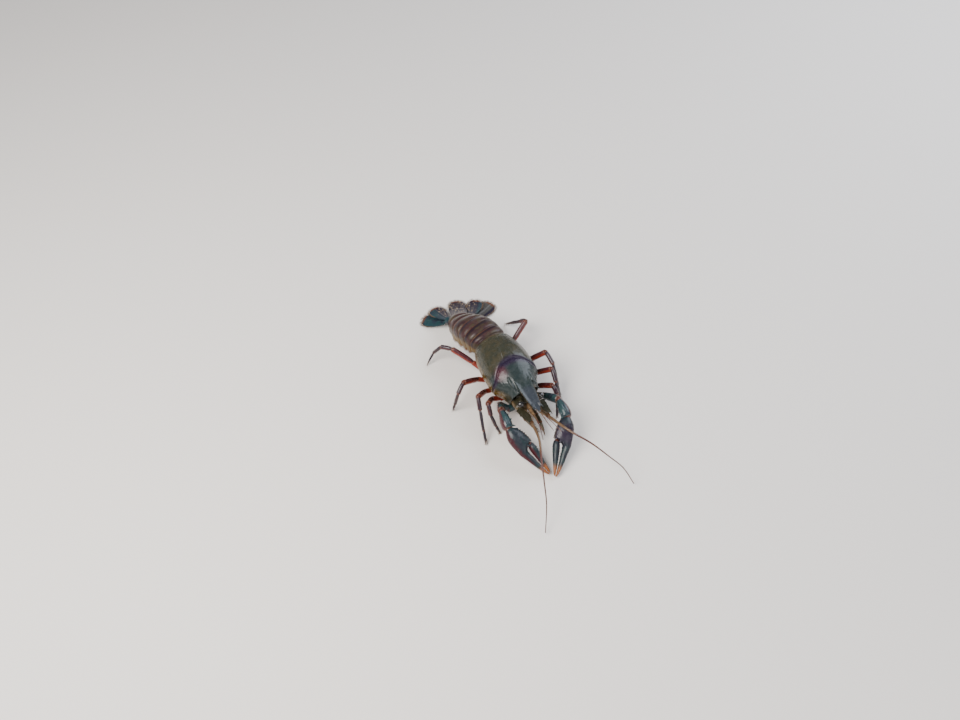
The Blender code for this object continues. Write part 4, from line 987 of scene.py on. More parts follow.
def build_leg(name):
    """The upper and lower half of a walking leg."""
    side = 1 if name.endswith("_l") else -1
    r = LEG_RADIUS
    hip_y, hip_z = LEGS[name][0]
    root = mirrored((STERNUM_EDGE - 0.5, hip_y, hip_z), side)
    hip = mirrored((STERNUM_EDGE + HIP_LENGTH, hip_y, hip_z), side)
    turn, knee, wrist, foot = (mirrored(spot, side) for spot in LEGS[name][1:])
    foot.z = FOOT_REST
    out = (hip - root).normalized()
    upper = [sleeve(root, hip + out * 0.2, 1.15 * r, 1.0 * r, flat=1.0,
                    marks={"red": 1, "above": 0.2}),
             sleeve(hip - out * 0.4, turn, 0.95 * r, 1.02 * r, marks={"red": 1, "above": 0.4}),
             sleeve(turn - (turn - hip).normalized() * 0.3, knee, 1.22 * r, 1.12 * r, bow=0.25,
                    flat=0.84, marks={"red": 0.85, "above": 1.0})]
    lower = [sleeve(knee, wrist, 0.96 * r, 0.90 * r, bow=0.2, marks={"red": 0.35})]
    MEMBRANES.extend([(hip, 0.75 * r), (turn, 0.80 * r), (knee, 0.70 * r), (wrist, 0.58 * r)])
    if name in SHANK_BEND:
        ankle = mirrored(SHANK_BEND[name], side)
        shin, toe, flat, bow = BENT_SHANK
    else:
        ankle = wrist.lerp(foot, TOE_ROOT)
        shin, toe, flat, bow = STRAIGHT_SHANK
    lower.append(sleeve(wrist, ankle, shin[0] * r, shin[1] * r, flat=flat, marks={"red": 0.1}))
    lower.append(sleeve(ankle, foot, toe[0] * r, toe[1] * r, TOE, bow=bow, marks=THIN_TOE))
    MEMBRANES.append((ankle, 0.42 * r))
    if name.startswith(PINCER_LEGS):
        inward = Vector((-0.9 * side, -0.25, 0))
        start = wrist.lerp(foot, TOE_ROOT - 0.08) + inward * 0.25
        lower.append(sleeve(start, foot + inward * 0.75, 0.46 * r, 0.28 * r, TOE, bow=-0.1,
                            marks=THIN_TOE))
    bristle(ankle, foot, 0.4 * r, 60, len(HAIR_ROOTS))
    bristle(wrist, ankle, 0.6 * r, 70, len(HAIR_ROOTS))
    bristle(knee, wrist, 0.8 * r, 30, len(HAIR_ROOTS), 0.5)
    for part, sleeves in (("_upper", upper), ("_lower", lower)):
        settle(join(name + part, sleeves), LEG_LOOK, "leg_shell", name + part)


for name in LEGS:
    build_leg(name)
print("hair roots so far:", len(HAIR_ROOTS))

# %% [markdown]
# The claw arms are the same idea, only stouter and armed with spines, so they are melted
# instead of left as plain sleeves. The wrist piece is the swollen one before the claw, with a
# furrow along its back and a strong spine on its inner side.

# %% Sizes and markings of the claw arms
ARMS = {
    "l": [(-13.2, 5.0), (8.9, -14.2, 7.6), (12.2, -23.4, 13.8), (11.4, -32.4, 12.5),
          (-3.4, -49.2, 2.0)],
    "r": [(-12.6, 5.0), (9.7, -10.0, 7.3), (12.6, -17.2, 14.0), (14.0, -26.0, 12.6),
          (4.9, -48.7, 1.25)],
}
ARM_RADIUS = 1.72
ARM_HIP = 2.2
ARM_UPPER_SHAPE = [(-0.02, 0.55), (0.04, 0.74), (0.22, 0.95), (0.45, 1.10), (0.62, 1.22),
                   (0.84, 1.24), (0.95, 1.16), (1.0, 0.95), (0.97, 0.6)]
WRIST_SHAPE = [(-0.03, 0.55), (0.05, 0.88), (0.24, 1.22), (0.45, 1.48), (0.62, 1.62), (0.80, 1.60),
               (0.93, 1.40), (1.0, 1.10), (0.97, 0.7)]
# Share of the long piece's length, reach and size of its spines above; share and reach below
UPPER_SPINES = ((0.80, 2.9, 0.6), (0.62, 2.2, 0.4))
LOWER_SPINES = ((0.35, 2.3), (0.52, 2.5), (0.70, 2.9), (0.86, 2.6))
WRIST_GRAINS = 22


def arm_masks(piece, start, end, side, last_share=0.9):
    """Markings of an arm piece: dark red outside, tan below, rust at the joints."""
    axis = (end - start).normalized()
    length = (end - start).length
    out = Vector((side, 0, 0))
    stain(piece, "outer", lambda p, n: ramp(n.dot(out), 0.2, 0.8))
    stain(piece, "under", lambda p, n: ramp(n.z, -0.25, -0.8))
    stain(piece, "joint", lambda p, n: ramp((p - start).dot(axis) / length, last_share, 1.0))
    stain(piece, "tip", lambda p, n: 0.0)


print("spines on each long piece:", len(UPPER_SPINES) + len(LOWER_SPINES))

# %% Claw arms
def build_arm(tag):
    """Root, long piece and wrist of a claw arm. Returns the wrist and tip points of the claw."""
    side = 1 if tag == "l" else -1
    r = ARM_RADIUS
    root_y, root_z = ARMS[tag][0]
    root = mirrored((STERNUM_EDGE - 0.6, root_y, root_z), side)
    hip = mirrored((STERNUM_EDGE + ARM_HIP, root_y, root_z), side)
    turn, elbow, wrist, tip = (mirrored(spot, side) for spot in ARMS[tag][1:])
    piece = join("arm_root_" + tag, [
        sleeve(root, hip + (hip - root).normalized() * 0.6, 1.2 * r, 1.05 * r, sides=20),
        sleeve(hip, turn, 1.0 * r, 0.86 * r, sides=20)])
    arm_masks(piece, root, turn, side)
    settle(piece, ARM_LOOK, "arm_shell", "arm_root_" + tag)
    up = Vector((0, 0, 1))
    inward = Vector((-side, 0, 0))
    along = (elbow - turn).normalized()
    forms = [sleeve(turn, elbow, r, r, ARM_UPPER_SHAPE, sides=24, bow=0.2, flat=0.86)]
    for share, lift, size in UPPER_SPINES:
        spot = turn.lerp(elbow, share)
        forms.append(thorn(spot + up * 1.1, spot + up * lift + along * 1.1, size))
    for share, lift in LOWER_SPINES:
        spot = turn.lerp(elbow, share)
        forms.append(thorn(spot - up * 1.0 + inward * 0.3, spot - up * lift * 0.9 + along * 0.8,
                           0.5))
        forms.append(knob(spot - up * 1.5 + inward * 1.0, (0.4, 0.4, 0.35)))
    piece = melt("arm_upper_" + tag, forms, 0.2)
    arm_masks(piece, turn, elbow, side)
    settle(piece, ARM_LOOK, "arm_shell", "arm_upper_" + tag)
    along = (wrist - elbow).normalized()
    forms = [sleeve(elbow, wrist, r, r, WRIST_SHAPE, sides=28, bow=0.15, flat=0.92)]
    spot = elbow.lerp(wrist, 0.82)
    forms.append(thorn(spot + inward * 1.5, spot + inward * 3.7 + along * 1.4, 0.75))
    spot = elbow.lerp(wrist, 0.6)
    forms.append(thorn(spot + inward * 1.7 + up * 0.8, spot + inward * 3.1 + up * 1.3 + along * 0.3,
                       0.55))
    forms.append(thorn(spot - up * 1.6 + along * 1.6, spot - up * 2.9 + along * 2.6, 0.5))
    draw = random.Random(31 if side > 0 else 47)
    for _ in range(WRIST_GRAINS):
        share, angle = draw.uniform(0.3, 0.92), draw.uniform(0.1, 2.0)
        out = inward * math.cos(angle) + up * math.sin(angle)
        swell = read_along(WRIST_SHAPE[:-1], share)
        forms.append(knob(elbow.lerp(wrist, share) + out * r * swell * 0.93, (0.30, 0.34, 0.26)))
    piece = melt("wrist_" + tag, forms, 0.19)
    furrow = along.cross(up).normalized()
    carve(piece, lambda p, n: 0.28 * bump_at((p - elbow).dot(furrow), 0.25 * side, 0.35)
          * ramp(n.z, 0.5, 0.8)
          * bump_at((p - elbow).dot(along) / (wrist - elbow).length, 0.5, 0.35))
    arm_masks(piece, elbow, wrist, side, 0.93)
    settle(piece, ARM_LOOK, "arm_shell", "wrist_" + tag)
    MEMBRANES.extend([(hip, 0.8 * r), (turn, 0.70 * r), (elbow, 0.74 * r), (wrist, 0.82 * r)])
    return wrist, tip


claw_ends = {tag: build_arm(tag) for tag in ARMS}
print("arm pieces:", 3 * len(ARMS))

# %% [markdown]
# The claws are long and slim. A claw has its own frame: outwards, towards the tip and over its
# back. The palm narrows into the fixed finger, and the hinged finger closes against it from
# the inner side. A row of scale-like knobs runs down the inner edge of the palm, blunt teeth
# sit on both cutting edges, and the orange tips hook towards each other.

# %% Claw sizes
# Palm and finger: place along the part, middle, half width, half depth, slant of the section
CLAW_HALF, CLAW_DEPTH, CLAW_SIDES = 4.05, 2.7, 32
CLAW_ROLL = {"l": -12, "r": 12}
PALM_LENGTH, CLAW_LENGTH = 10.6, 25.8
PALM = [(-0.5, 0, 0.30, 0.42, 0), (0.3, 0, 0.44, 0.62, 0), (1.3, 0, 0.62, 0.80, 0),
        (3.4, 0, 0.88, 0.98, 0), (6.6, 0, 0.99, 1.0, 0), (9.7, 0, 1.0, 0.92, 0),
        (10.9, 0.20, 0.80, 0.80, 0.30), (12.2, 0.49, 0.47, 0.66, 0.12), (15.6, 0.44, 0.37, 0.50, 0),
        (20.1, 0.34, 0.26, 0.38, 0), (23.8, 0.22, 0.15, 0.27, 0), (25.3, 0.12, 0.10, 0.18, 0),
        (25.9, 0.06, 0.04, 0.08, 0)]
FINGER_START = PALM_LENGTH + 0.72
FINGER = [(-0.7, -0.53, 0.24, 0.35, 0.30), (0, -0.58, 0.36, 0.52, 0.30),
          (1.6, -0.56, 0.41, 0.62, 0.10), (5.0, -0.43, 0.36, 0.50, 0), (9.0, -0.27, 0.26, 0.38, 0),
          (12.4, -0.15, 0.15, 0.27, 0), (13.8, -0.09, 0.09, 0.16, 0), (14.3, -0.04, 0.04, 0.08, 0)]


def claw_frame(tag, wrist, tip):
    """Outward axis, axis to the tip and axis over the back of a claw."""
    side = 1 if tag == "l" else -1
    ahead = (tip - wrist).normalized()
    outward = ahead.cross(Vector((0, 0, 1))).normalized()
    if outward.x * side < 0:
        outward.negate()
    outward = (Matrix.Rotation(math.radians(CLAW_ROLL[tag]), 3, ahead) @ outward).normalized()
    over = outward.cross(ahead)
    if over.z < 0:
        over.negate()
    return outward, ahead, over


def edge_at(table, place, way):
    """Where the outer edge (way 1) or the inner one (way -1) of a claw part lies."""
    return read_along([(row[0], row[1] + way * row[2]) for row in table], place) * CLAW_HALF


def claw_rings(spot_at, table, start, count):
    """Rings of a claw part read smoothly from its table, with a low ridge along its back."""
    rings = []
    for y in spread(table[0][0], table[-1][0], count):
        x, half, deep, slant = (read_column(table, y, column) for column in (1, 2, 3, 4))
        ring = []
        for k in range(CLAW_SIDES):
            angle = 2 * math.pi * k / CLAW_SIDES
            reach = half * CLAW_HALF * math.cos(angle)
            ridge = 1 + 0.10 * bump_at(math.cos(angle), 0.0, 0.28) * ramp(y + start, 9, 14)
            ring.append(spot_at(x * CLAW_HALF + reach, start + y + slant * reach,
                                deep * CLAW_DEPTH * math.sin(angle) * ridge))
        rings.append(ring)
    return rings


print("claw length:", CLAW_LENGTH, "mm, of which the palm is", PALM_LENGTH)

# %% Claw markings and rows of knobs
VIOLET_FLUSH, OUTER_RED = {"l": 0.75, "r": 0.35}, {"l": 0.35, "r": 1.0}
# Row, height of the root and of the point of the scales on the palm's inner side
SCALE_ROWS = ((0, 0.55, 0.75), (1, -0.5, -0.55), (2, 1.45, 1.75))
PALM_GRAINS = 46
PALM_TEETH, FINGER_TEETH = (0.42, 0.26, 0.34), (0.25, 0.36, 0.26)


def claw_masks(piece, wrist, frame_axes, tag, knob_line):
    """Markings of a claw: maroon outer side, violet flush, tan below and orange tip."""
    outward, ahead, over = frame_axes

    def local(p):
        step = p - wrist
        return step.dot(outward), step.dot(ahead), step.dot(over)

    stain(piece, "outer", lambda p, n: ramp(n.dot(outward), 0.15, 0.8) * ramp(local(p)[1], 22, 16)
          * OUTER_RED[tag])
    stain(piece, "violet", lambda p, n: VIOLET_FLUSH[tag] * bump_at(local(p)[1], 7.0, 6.5)
          * ramp(n.dot(over), -0.3, 0.5))
    stain(piece, "under", lambda p, n: ramp(n.dot(over), -0.35, -0.85))
    stain(piece, "tip", lambda p, n: ramp(local(p)[1], CLAW_LENGTH - 7.5, CLAW_LENGTH - 1.5))
    stain(piece, "knob", lambda p, n: knob_line(*local(p)))


def tooth(spot, size):
    """A small blunt knob, a little longer than wide."""
    return knob(spot, (size, size * 1.2, size))


print("rows of scales on a palm:", len(SCALE_ROWS))

# %% Claws
def build_claw(tag):
    """Palm with fixed finger, and hinged finger."""
    wrist, tip = claw_ends[tag]
    axes = claw_frame(tag, wrist, tip)
    outward, ahead, over = axes
    w = CLAW_HALF

    def spot_at(x, y, z):
        return wrist + outward * x + ahead * y + over * z

    forms = [grow("palm", claw_rings(spot_at, PALM, 0, 52))]
    for row, lift, rise in SCALE_ROWS:
        for i in range(8 - row):
            y = 1.9 + 1.15 * i + 0.4 * row
            edge = -(0.70 + 0.27 * min(1.0, (y - 1.3) / 4.0)) * w + (0.62 if row == 2 else 0.0)
            size = 0.52 - 0.03 * i if row == 0 else 0.36
            forms.append(thorn(spot_at(edge + 0.6, y, lift),
                               spot_at(edge - 0.62 * size / 0.5, y + 0.55, rise), size))
    draw = random.Random(11 if tag == "l" else 23)
    for _ in range(PALM_GRAINS):
        y, angle = draw.uniform(1.5, 11.5), draw.uniform(0.25, 2.9)
        half = read_column(PALM, y, 2) * w
        deep = read_column(PALM, y, 3) * CLAW_DEPTH
        size = draw.uniform(0.16, 0.28)
        forms.append(tooth(spot_at(half * math.cos(angle) * 0.99, y, deep * math.sin(angle) * 0.97),
                           size))
    for i in range(9):
        y = PALM_LENGTH + 2.6 + 1.25 * i
        size = PALM_TEETH[i % 3] * (1 - 0.06 * i)
        forms.append(tooth(spot_at(edge_at(PALM, y, -1) + 0.1, y, 0), size))
    hinge = spot_at(-0.30 * w, PALM_LENGTH + 0.2, 0.62 * CLAW_DEPTH)
    forms.append(knob(hinge, (0.7, 0.7, 0.6)))
    palm = melt("claw_palm_" + tag, forms, 0.17)
    claw_masks(palm, wrist, axes, tag,
               lambda x, y, z: ramp(-x, 0.78 * w, 1.02 * w) * ramp(y, 12.5, 11.0))
    settle(palm, CLAW_LOOK, "claw_shell", "claw_palm_" + tag)

    forms = [grow("finger", claw_rings(spot_at, FINGER, FINGER_START, 40))]
    for i in range(9):
        y = 1.8 + 1.2 * i
        biting, back = edge_at(FINGER, y, 1), edge_at(FINGER, y, -1)
        size = FINGER_TEETH[i % 3] * (1 - 0.05 * i)
        forms.append(tooth(spot_at(biting - 0.1, FINGER_START + y + 0.5, 0), size))
        if i < 6:
            forms.append(thorn(spot_at(back + 0.5, FINGER_START + y, 0.25),
                               spot_at(back - 0.28, FINGER_START + y + 0.4, 0.45), 0.36 - 0.03 * i))
    finger = melt("claw_finger_" + tag, forms, 0.16)
    claw_masks(finger, wrist, axes, tag, lambda x, y, z: 0.0)
    settle(finger, CLAW_LOOK, "claw_shell", "claw_finger_" + tag)
    MEMBRANES.append((spot_at(-0.6 * w, PALM_LENGTH + 0.4, 0), 0.30 * w))
    stretch = next(stretches)
    for share in spread(0.1, 0.9, 26):
        y = PALM_LENGTH + 1.5 + 13 * share
        for lift, around in ((0.4, 0.35), (-0.4, 0.65)):
            lie = (over * math.copysign(1, lift) - outward * 0.5 + ahead * 0.6).normalized()
            HAIR_ROOTS.append((spot_at(edge_at(PALM, y, -1) + 0.1, y, lift), lie, 0.6,
                               (stretch, around, share)))


for tag in ARMS:
    build_claw(tag)
print("claw triangles:", sum(count for name, count in TRIANGLES.items() if name.startswith("claw")))

# %% [markdown]
# Abdomen: six ringed plates over soft muscle. Each plate is an arch with a flap hanging at
# either side, and its rear edge laps over the next plate, like tiles. A ring of the arch is
# worked out at each step along a plate: it dips behind the front edge, swells, and ends in a
# thin lip that turns in. The back bends down and swings to the animal's right, then to its
# left, so the joints carry a pitch and a turn each.

# %% Abdomen sizes
# Each joint: x, y, top, half width, depth of the body, reach of the flap
ABDOMEN_JOINTS = [
    (-0.5, 15.8, 20.7, 7.4, 6.8, 7.6), (-1.2, 19.5, 20.9, 8.0, 6.8, 8.4),
    (-2.3, 24.4, 20.3, 8.2, 6.6, 9.0), (-3.4, 29.1, 18.7, 8.0, 6.3, 8.6),
    (-4.1, 33.4, 16.3, 7.6, 5.9, 8.2), (-4.1, 37.2, 13.4, 6.9, 5.4, 7.4),
    (-3.6, 41.0, 10.3, 6.0, 4.6, 5.2),
]
JOINT_PITCH = [0, 3, 13, 25, 34, 38, 38]
JOINT_TURN = [0, -8, -11, -9, -2, 7, 16]
FLAP_REACH = [1.2, 2.6, 2.6, 2.6, 2.4, 0.8]
ARCH_DROP = 4.6
# How far a plate laps over the next one, as a share of its length
LAP = 0.16
# Point of a section's outline at the rim of the left flap; the right one counts from its end
FLAP_POINT = 18
# Along one plate: share of its length, swelling of the ring
PLATE_SWELL = [(-0.12, -0.75), (0.0, -0.45), (0.14, -0.22), (0.20, -0.30), (0.27, 0.0),
               (0.45, 0.22), (0.75, 0.24), (1.0, 0.16), (1.0 + LAP, 0.12)]


def joint_frame(index):
    """Centre of the back, backward axis and side axis of one joint."""
    x, y, top = ABDOMEN_JOINTS[index][:3]
    pitch, turn = math.radians(JOINT_PITCH[index]), math.radians(JOINT_TURN[index])
    back = Vector((math.sin(turn) * math.cos(pitch), math.cos(turn) * math.cos(pitch),
                   -math.sin(pitch)))
    return Vector((x, y, top)), back, Vector((math.cos(turn), -math.sin(turn), 0))


def plate_ring(origin, back, side, half, depth, flap):
    """One section of a plate: an arched back, and a flap that hangs at each side."""
    up = side.cross(back)
    right = []
    for angle in spread(0, 84, 13):
        a = math.radians(angle)
        right.append((half * math.sin(a) ** 0.9, -ARCH_DROP * (1 - math.cos(a))))
    for t in spread(0.2, 1, 5):
        right.append((half * (1.0 - 0.03 * t), -ARCH_DROP * 0.9 + (ARCH_DROP * 0.9 - flap) * t))
    right += [(half * 0.955, -flap - 0.12), (half * 0.925, -flap),
              (half * 0.86, -(flap + depth) * 0.5), (half * 0.80, -depth),
              (half * 0.45, -depth - 0.25)]
    outline = right + [(0, -depth - 0.3)] + [(-x, z) for x, z in reversed(right[1:])]
    return [origin + side * x + up * z for x, z in outline]


def plate_section(number, share, swell, hang):
    """The ring of plate number at a share of its length."""
    front, back_a, side_a = joint_frame(number)
    rear, back_b, side_b = joint_frame(number + 1)
    mix = min(1.0, max(0.0, share))
    back, side = back_a.lerp(back_b, mix).normalized(), side_a.lerp(side_b, mix).normalized()
    sizes = [a + (b - a) * mix for a, b in zip(ABDOMEN_JOINTS[number][3:],
                                               ABDOMEN_JOINTS[number + 1][3:])]
    origin = front.lerp(rear, mix)
    length = (rear - front).length
    origin += back * (share - mix) * length
    origin += side.cross(back) * (swell + math.sin(math.pi * mix) * 0.25)
    return plate_ring(origin, back, side, sizes[0] + swell * 0.6, sizes[1],
                      sizes[2] + hang * FLAP_REACH[number])


print("abdomen plates:", len(FLAP_REACH))

# %% Abdomen plates
# Each fringe of hair: points of its edge, direction, length, hairs in a millimetre
FRINGES = []
for number in range(6):
    shares = spread(-0.12, 1.0 + LAP * (number < 5), 34)
    rings = []
    for share in shares:
        hang = math.sin(math.pi * min(1.0, max(0.0, (share + 0.06) / 1.16)) ** 1.15) ** 0.75
        rings.append(plate_section(number, share, read_along(PLATE_SWELL, share), hang))
    rings.append(plate_section(number, shares[-1] - 0.02, -0.25, 0.2))
    rings.append(plate_section(number, shares[-1] - 0.14, -0.65, 0.0))
    plate = grow(f"abdomen_{number + 1}", rings)
    front, back, side = joint_frame(number)
    rear = joint_frame(number + 1)[0]
    along = rear - front
    up = side.cross(back)

    def share_of(p):
        return (p - front).dot(along) / along.length_squared

    def drop_of(p):
        return (front + along * share_of(p) - p).dot(up)

    soften(plate)
    stain(plate, "stripe", lambda p, n: bump_at(share_of(p), 0.95, 0.2) * 0.9
          + bump_at(share_of(p), 0.2, 0.1) * 0.5)
    stain(plate, "flap", lambda p, n: ramp(drop_of(p), 4.2, 7.5))
    stain(plate, "rim", lambda p, n: ramp(share_of(p), 1.02, 1.15) * 0.6
          + ramp(drop_of(p), 8.6, 10.6))
    settle(plate, ABDOMEN_LOOK, "abdomen_shell", f"abdomen_{number + 1}")
    for hand in (-1, 1):
        edge = [ring[hand * FLAP_POINT] for ring in rings[4:len(shares) - 6]]
        FRINGES.append((edge, (up * -0.8 + side * hand * 0.25 + back * 0.45).normalized(), 0.9, 5))
    hem = rings[len(shares) - 1]
    FRINGES.append((hem[-12:] + hem[:13], (back + up * 0.3).normalized(), 0.3, 4))
print("abdomen triangles:",
      sum(count for name, count in TRIANGLES.items() if name.startswith("abdomen")))

# %% [markdown]
# Under plates two to five hang the swimmerets, pairs of soft forked paddles with feathery
# edges. One leaf is modelled for each branch from a limb of flattened rings.

# %% Swimmerets
PADDLE_WIDTHS = (0.7, 0.8, 0.95, 1.05, 1.1, 1.05, 0.95, 0.75, 0.5, 0.2)
forms = []
for number in range(1, 5):
    front, back, side = joint_frame(number)
    rear = joint_frame(number + 1)[0]
    half, depth = ABDOMEN_JOINTS[number][3:5]
    up = side.cross(back)
    for hand in (-1, 1):
        root = front.lerp(rear, 0.5) + side * (hand * half * 0.42) - up * (depth - 0.9)
        for splay, length in ((-0.7, 5.0), (0.8, 5.6)):
            tip = root - up * (length * 0.98) + side * (hand * splay) + back * 0.7
            middle = root - up * (length * 0.5) + side * (hand * splay * 0.6) + back * 0.2
            path = smooth_path([root, middle, tip], len(PADDLE_WIDTHS) - 1)
            widths = [(0.62 * width, 0.42 * width) for width in PADDLE_WIDTHS]
            forms.append(soften(grow("paddle", rings_on(path, widths, 10, up=back))))
            lie = (side * hand * splay + back * 0.4 - up * 0.7).normalized()
            FRINGES.append((path[4:], lie, 0.8, 3))
paddles = join("swimmerets", forms)
settle(paddles, PALE_LOOK, "pale_shell")
print("swimmeret leaves:", len(forms))

# %% [markdown]
# The tail fan has a middle plate, the telson, and two blades on each side. A blade is a thin
# leaf: a grid primitive whose points are laid on the leaf, thickened with Solidify and softened.
# It is highest along its rib, and its edge carries a dense fringe of hair.

# %% A leaf from a grid
def leaf(name, line, across, halves, crown, thick, ridges, columns=24, crease=None):
    """A thin curved plate: line is its spine, halves its half width along it.

    Ridges are (centre, width, height) across it; a crease is the share of its length.
    """
    rows = len(line)
    bpy.ops.object.select_all(action="DESELECT")
    bpy.ops.mesh.primitive_grid_add(x_subdivisions=columns, y_subdivisions=rows - 1, size=2)
    piece = bpy.context.object
    piece.name = piece.data.name = name
    for vertex in piece.data.vertices:
        u, v = vertex.co.x, (vertex.co.y + 1) / 2
        index = min(rows - 1, round(v * (rows - 1)))
        lift = -crown * u * u
        for centre, width, height in ridges:
            lift += height * bump_at(u, centre, width)
        if crease is not None:
            lift -= 0.16 * bump_at(v, crease, 0.02)
        spot = line[index] + across * (u * halves[index])
        vertex.co = spot + Vector((0, 0, lift * min(1.0, 4 * (1 - v) + 0.3)))
        vertex.co.z = max(vertex.co.z, thick * 0.5 + 0.02)
    bpy.context.view_layer.objects.active = piece
    wall = piece.modifiers.new("wall", "SOLIDIFY")
    wall.thickness = thick
    wall.offset = 0
    bpy.ops.object.modifier_apply(modifier=wall.name)
    bpy.ops.object.mode_set(mode="EDIT")
    bpy.ops.mesh.select_all(action="SELECT")
    bpy.ops.mesh.normals_make_consistent(inside=False)
    bpy.ops.object.mode_set(mode="OBJECT")
    return soften(piece)


print("tool ready: leaf")

# %% Sizes of the tail fan
TAIL_TURN, FAN_ROWS = 20, 41
TELSON_ROOT, TELSON_LENGTH = (-3.6, 40.75, 8.85), 15.2
TELSON_WIDTH = [(0, 3.4), (0.15, 3.9), (0.6, 4.3), (0.66, 3.95), (0.85, 3.6), (0.95, 2.7), (1, 1.5)]
CARRIER_REACH, CARRIER_DROP, CARRIER_TURN, CARRIER_LENGTH = 4.1, 3.3, 42, 2.1
# Name, heading, length, half width
FAN_BLADES = [("uropod_inner_l", 16, 14.0, 3.4), ("uropod_inner_r", -26, 13.0, 3.4),
              ("uropod_outer_l", 43, 15.0, 3.8), ("uropod_outer_r", -58, 12.2, 3.7)]
# Where the violet and the painted grey sky reflection of a blade begin and are full, from its rib
# towards the telson; a place past the blade's edge leaves them out
NOWHERE = (90, 91)
BLADE_VIOLET = {"uropod_inner_l": (-3.0, -0.5), "uropod_inner_r": (-1.8, 1.2),
                "uropod_outer_l": (-1.4, -2.8)}
BLADE_PAINTED_GLARE = {"uropod_outer_l": (-3.0, -1.6)}
# Start ahead of the carrier and above it, height of the tip, bend downwards
BLADE_LEVELS = {"inner": (0.75, 0.4, 1.1, 1.3), "outer": (1.35, -2.15, 0.35, 1.5)}
BLADE_SHAPE = [(0, 0.34), (0.2, 0.62), (0.5, 0.93), (0.72, 1.0), (0.88, 0.86), (0.96, 0.58),
               (1, 0.28)]
print("fan blades:", len(FAN_BLADES) + 1)

# %% Telson
def fan_axis(heading):
    """Level direction at an angle from the tail's own axis, and the one across it."""
    angle = math.radians(TAIL_TURN + heading)
    return (Vector((math.sin(angle), math.cos(angle), 0)),
            Vector((math.cos(angle), -math.sin(angle), 0)))


FRINGE_LENGTH, FRINGE_DENSITY = 1.5, 8


def edge_fringe(line, across, halves, ahead, start):
    """Notes a fringe round the outer part of a leaf."""
    first = int(start * (len(line) - 1))
    for hand in (-1, 1):
        edge = [line[i] + across * (hand * halves[i] * 0.97) for i in range(first, len(line))]
        FRINGES.append((edge, (across * hand * 0.7 + ahead).normalized(), FRINGE_LENGTH,
                        FRINGE_DENSITY))
    last = [line[-1] + across * (halves[-1] * t) for t in spread(-1, 1, 6)]
    FRINGES.append((last, ahead, FRINGE_LENGTH, FRINGE_DENSITY))


TELSON_TIP_HEIGHT = 0.45
ahead, across = fan_axis(0)
line, halves = [], []
for share in spread(0, 1, FAN_ROWS):
    spot = Vector(TELSON_ROOT) + ahead * (TELSON_LENGTH * share * (0.80 + 0.17 * share))
    spot.z = TELSON_TIP_HEIGHT + (TELSON_ROOT[2] - TELSON_TIP_HEIGHT) * (1 - share) ** 1.25
    line.append(spot)
    halves.append(read_along(TELSON_WIDTH, share))
plate = leaf("telson_plate", line, across, halves, 0.5, 0.75,
             [(0, 0.10, 0.08), (-0.45, 0.1, 0.10), (0.45, 0.1, 0.10)], crease=0.6)
spikes = []
for hand in (-1, 1):
    for reach in (4.15, 3.4):
        base = line[24] + across * (hand * reach)
        spikes.append(soften(thorn(base - ahead * 0.9, base + ahead * 1.3, 0.4)))
telson = join("telson", [plate] + spikes)


def along_telson(p):
    """Distance from the telson's root."""
    return (p - line[0]).dot(ahead)


stain(telson, "middle", lambda p, n: 1.0)
# Painted glints: pale dots over the telson past its root, and sparse pale patches of light.
stain(telson, "speck", lambda p, n: ramp(along_telson(p), 0.5, 2.5))
stain(telson, "spark", lambda p, n: -0.2 + 0.25 * ramp(along_telson(p), 3.0, 9.0))
stain(telson, "rim", lambda p, n: 0.8 * ramp(along_telson(p), 12.9, 14.5))
settle(telson, FAN_LOOK, "tail_fan", "telson")
edge_fringe(line, across, halves, ahead, 0.66)
print("telson triangles:", TRIANGLES["telson"])

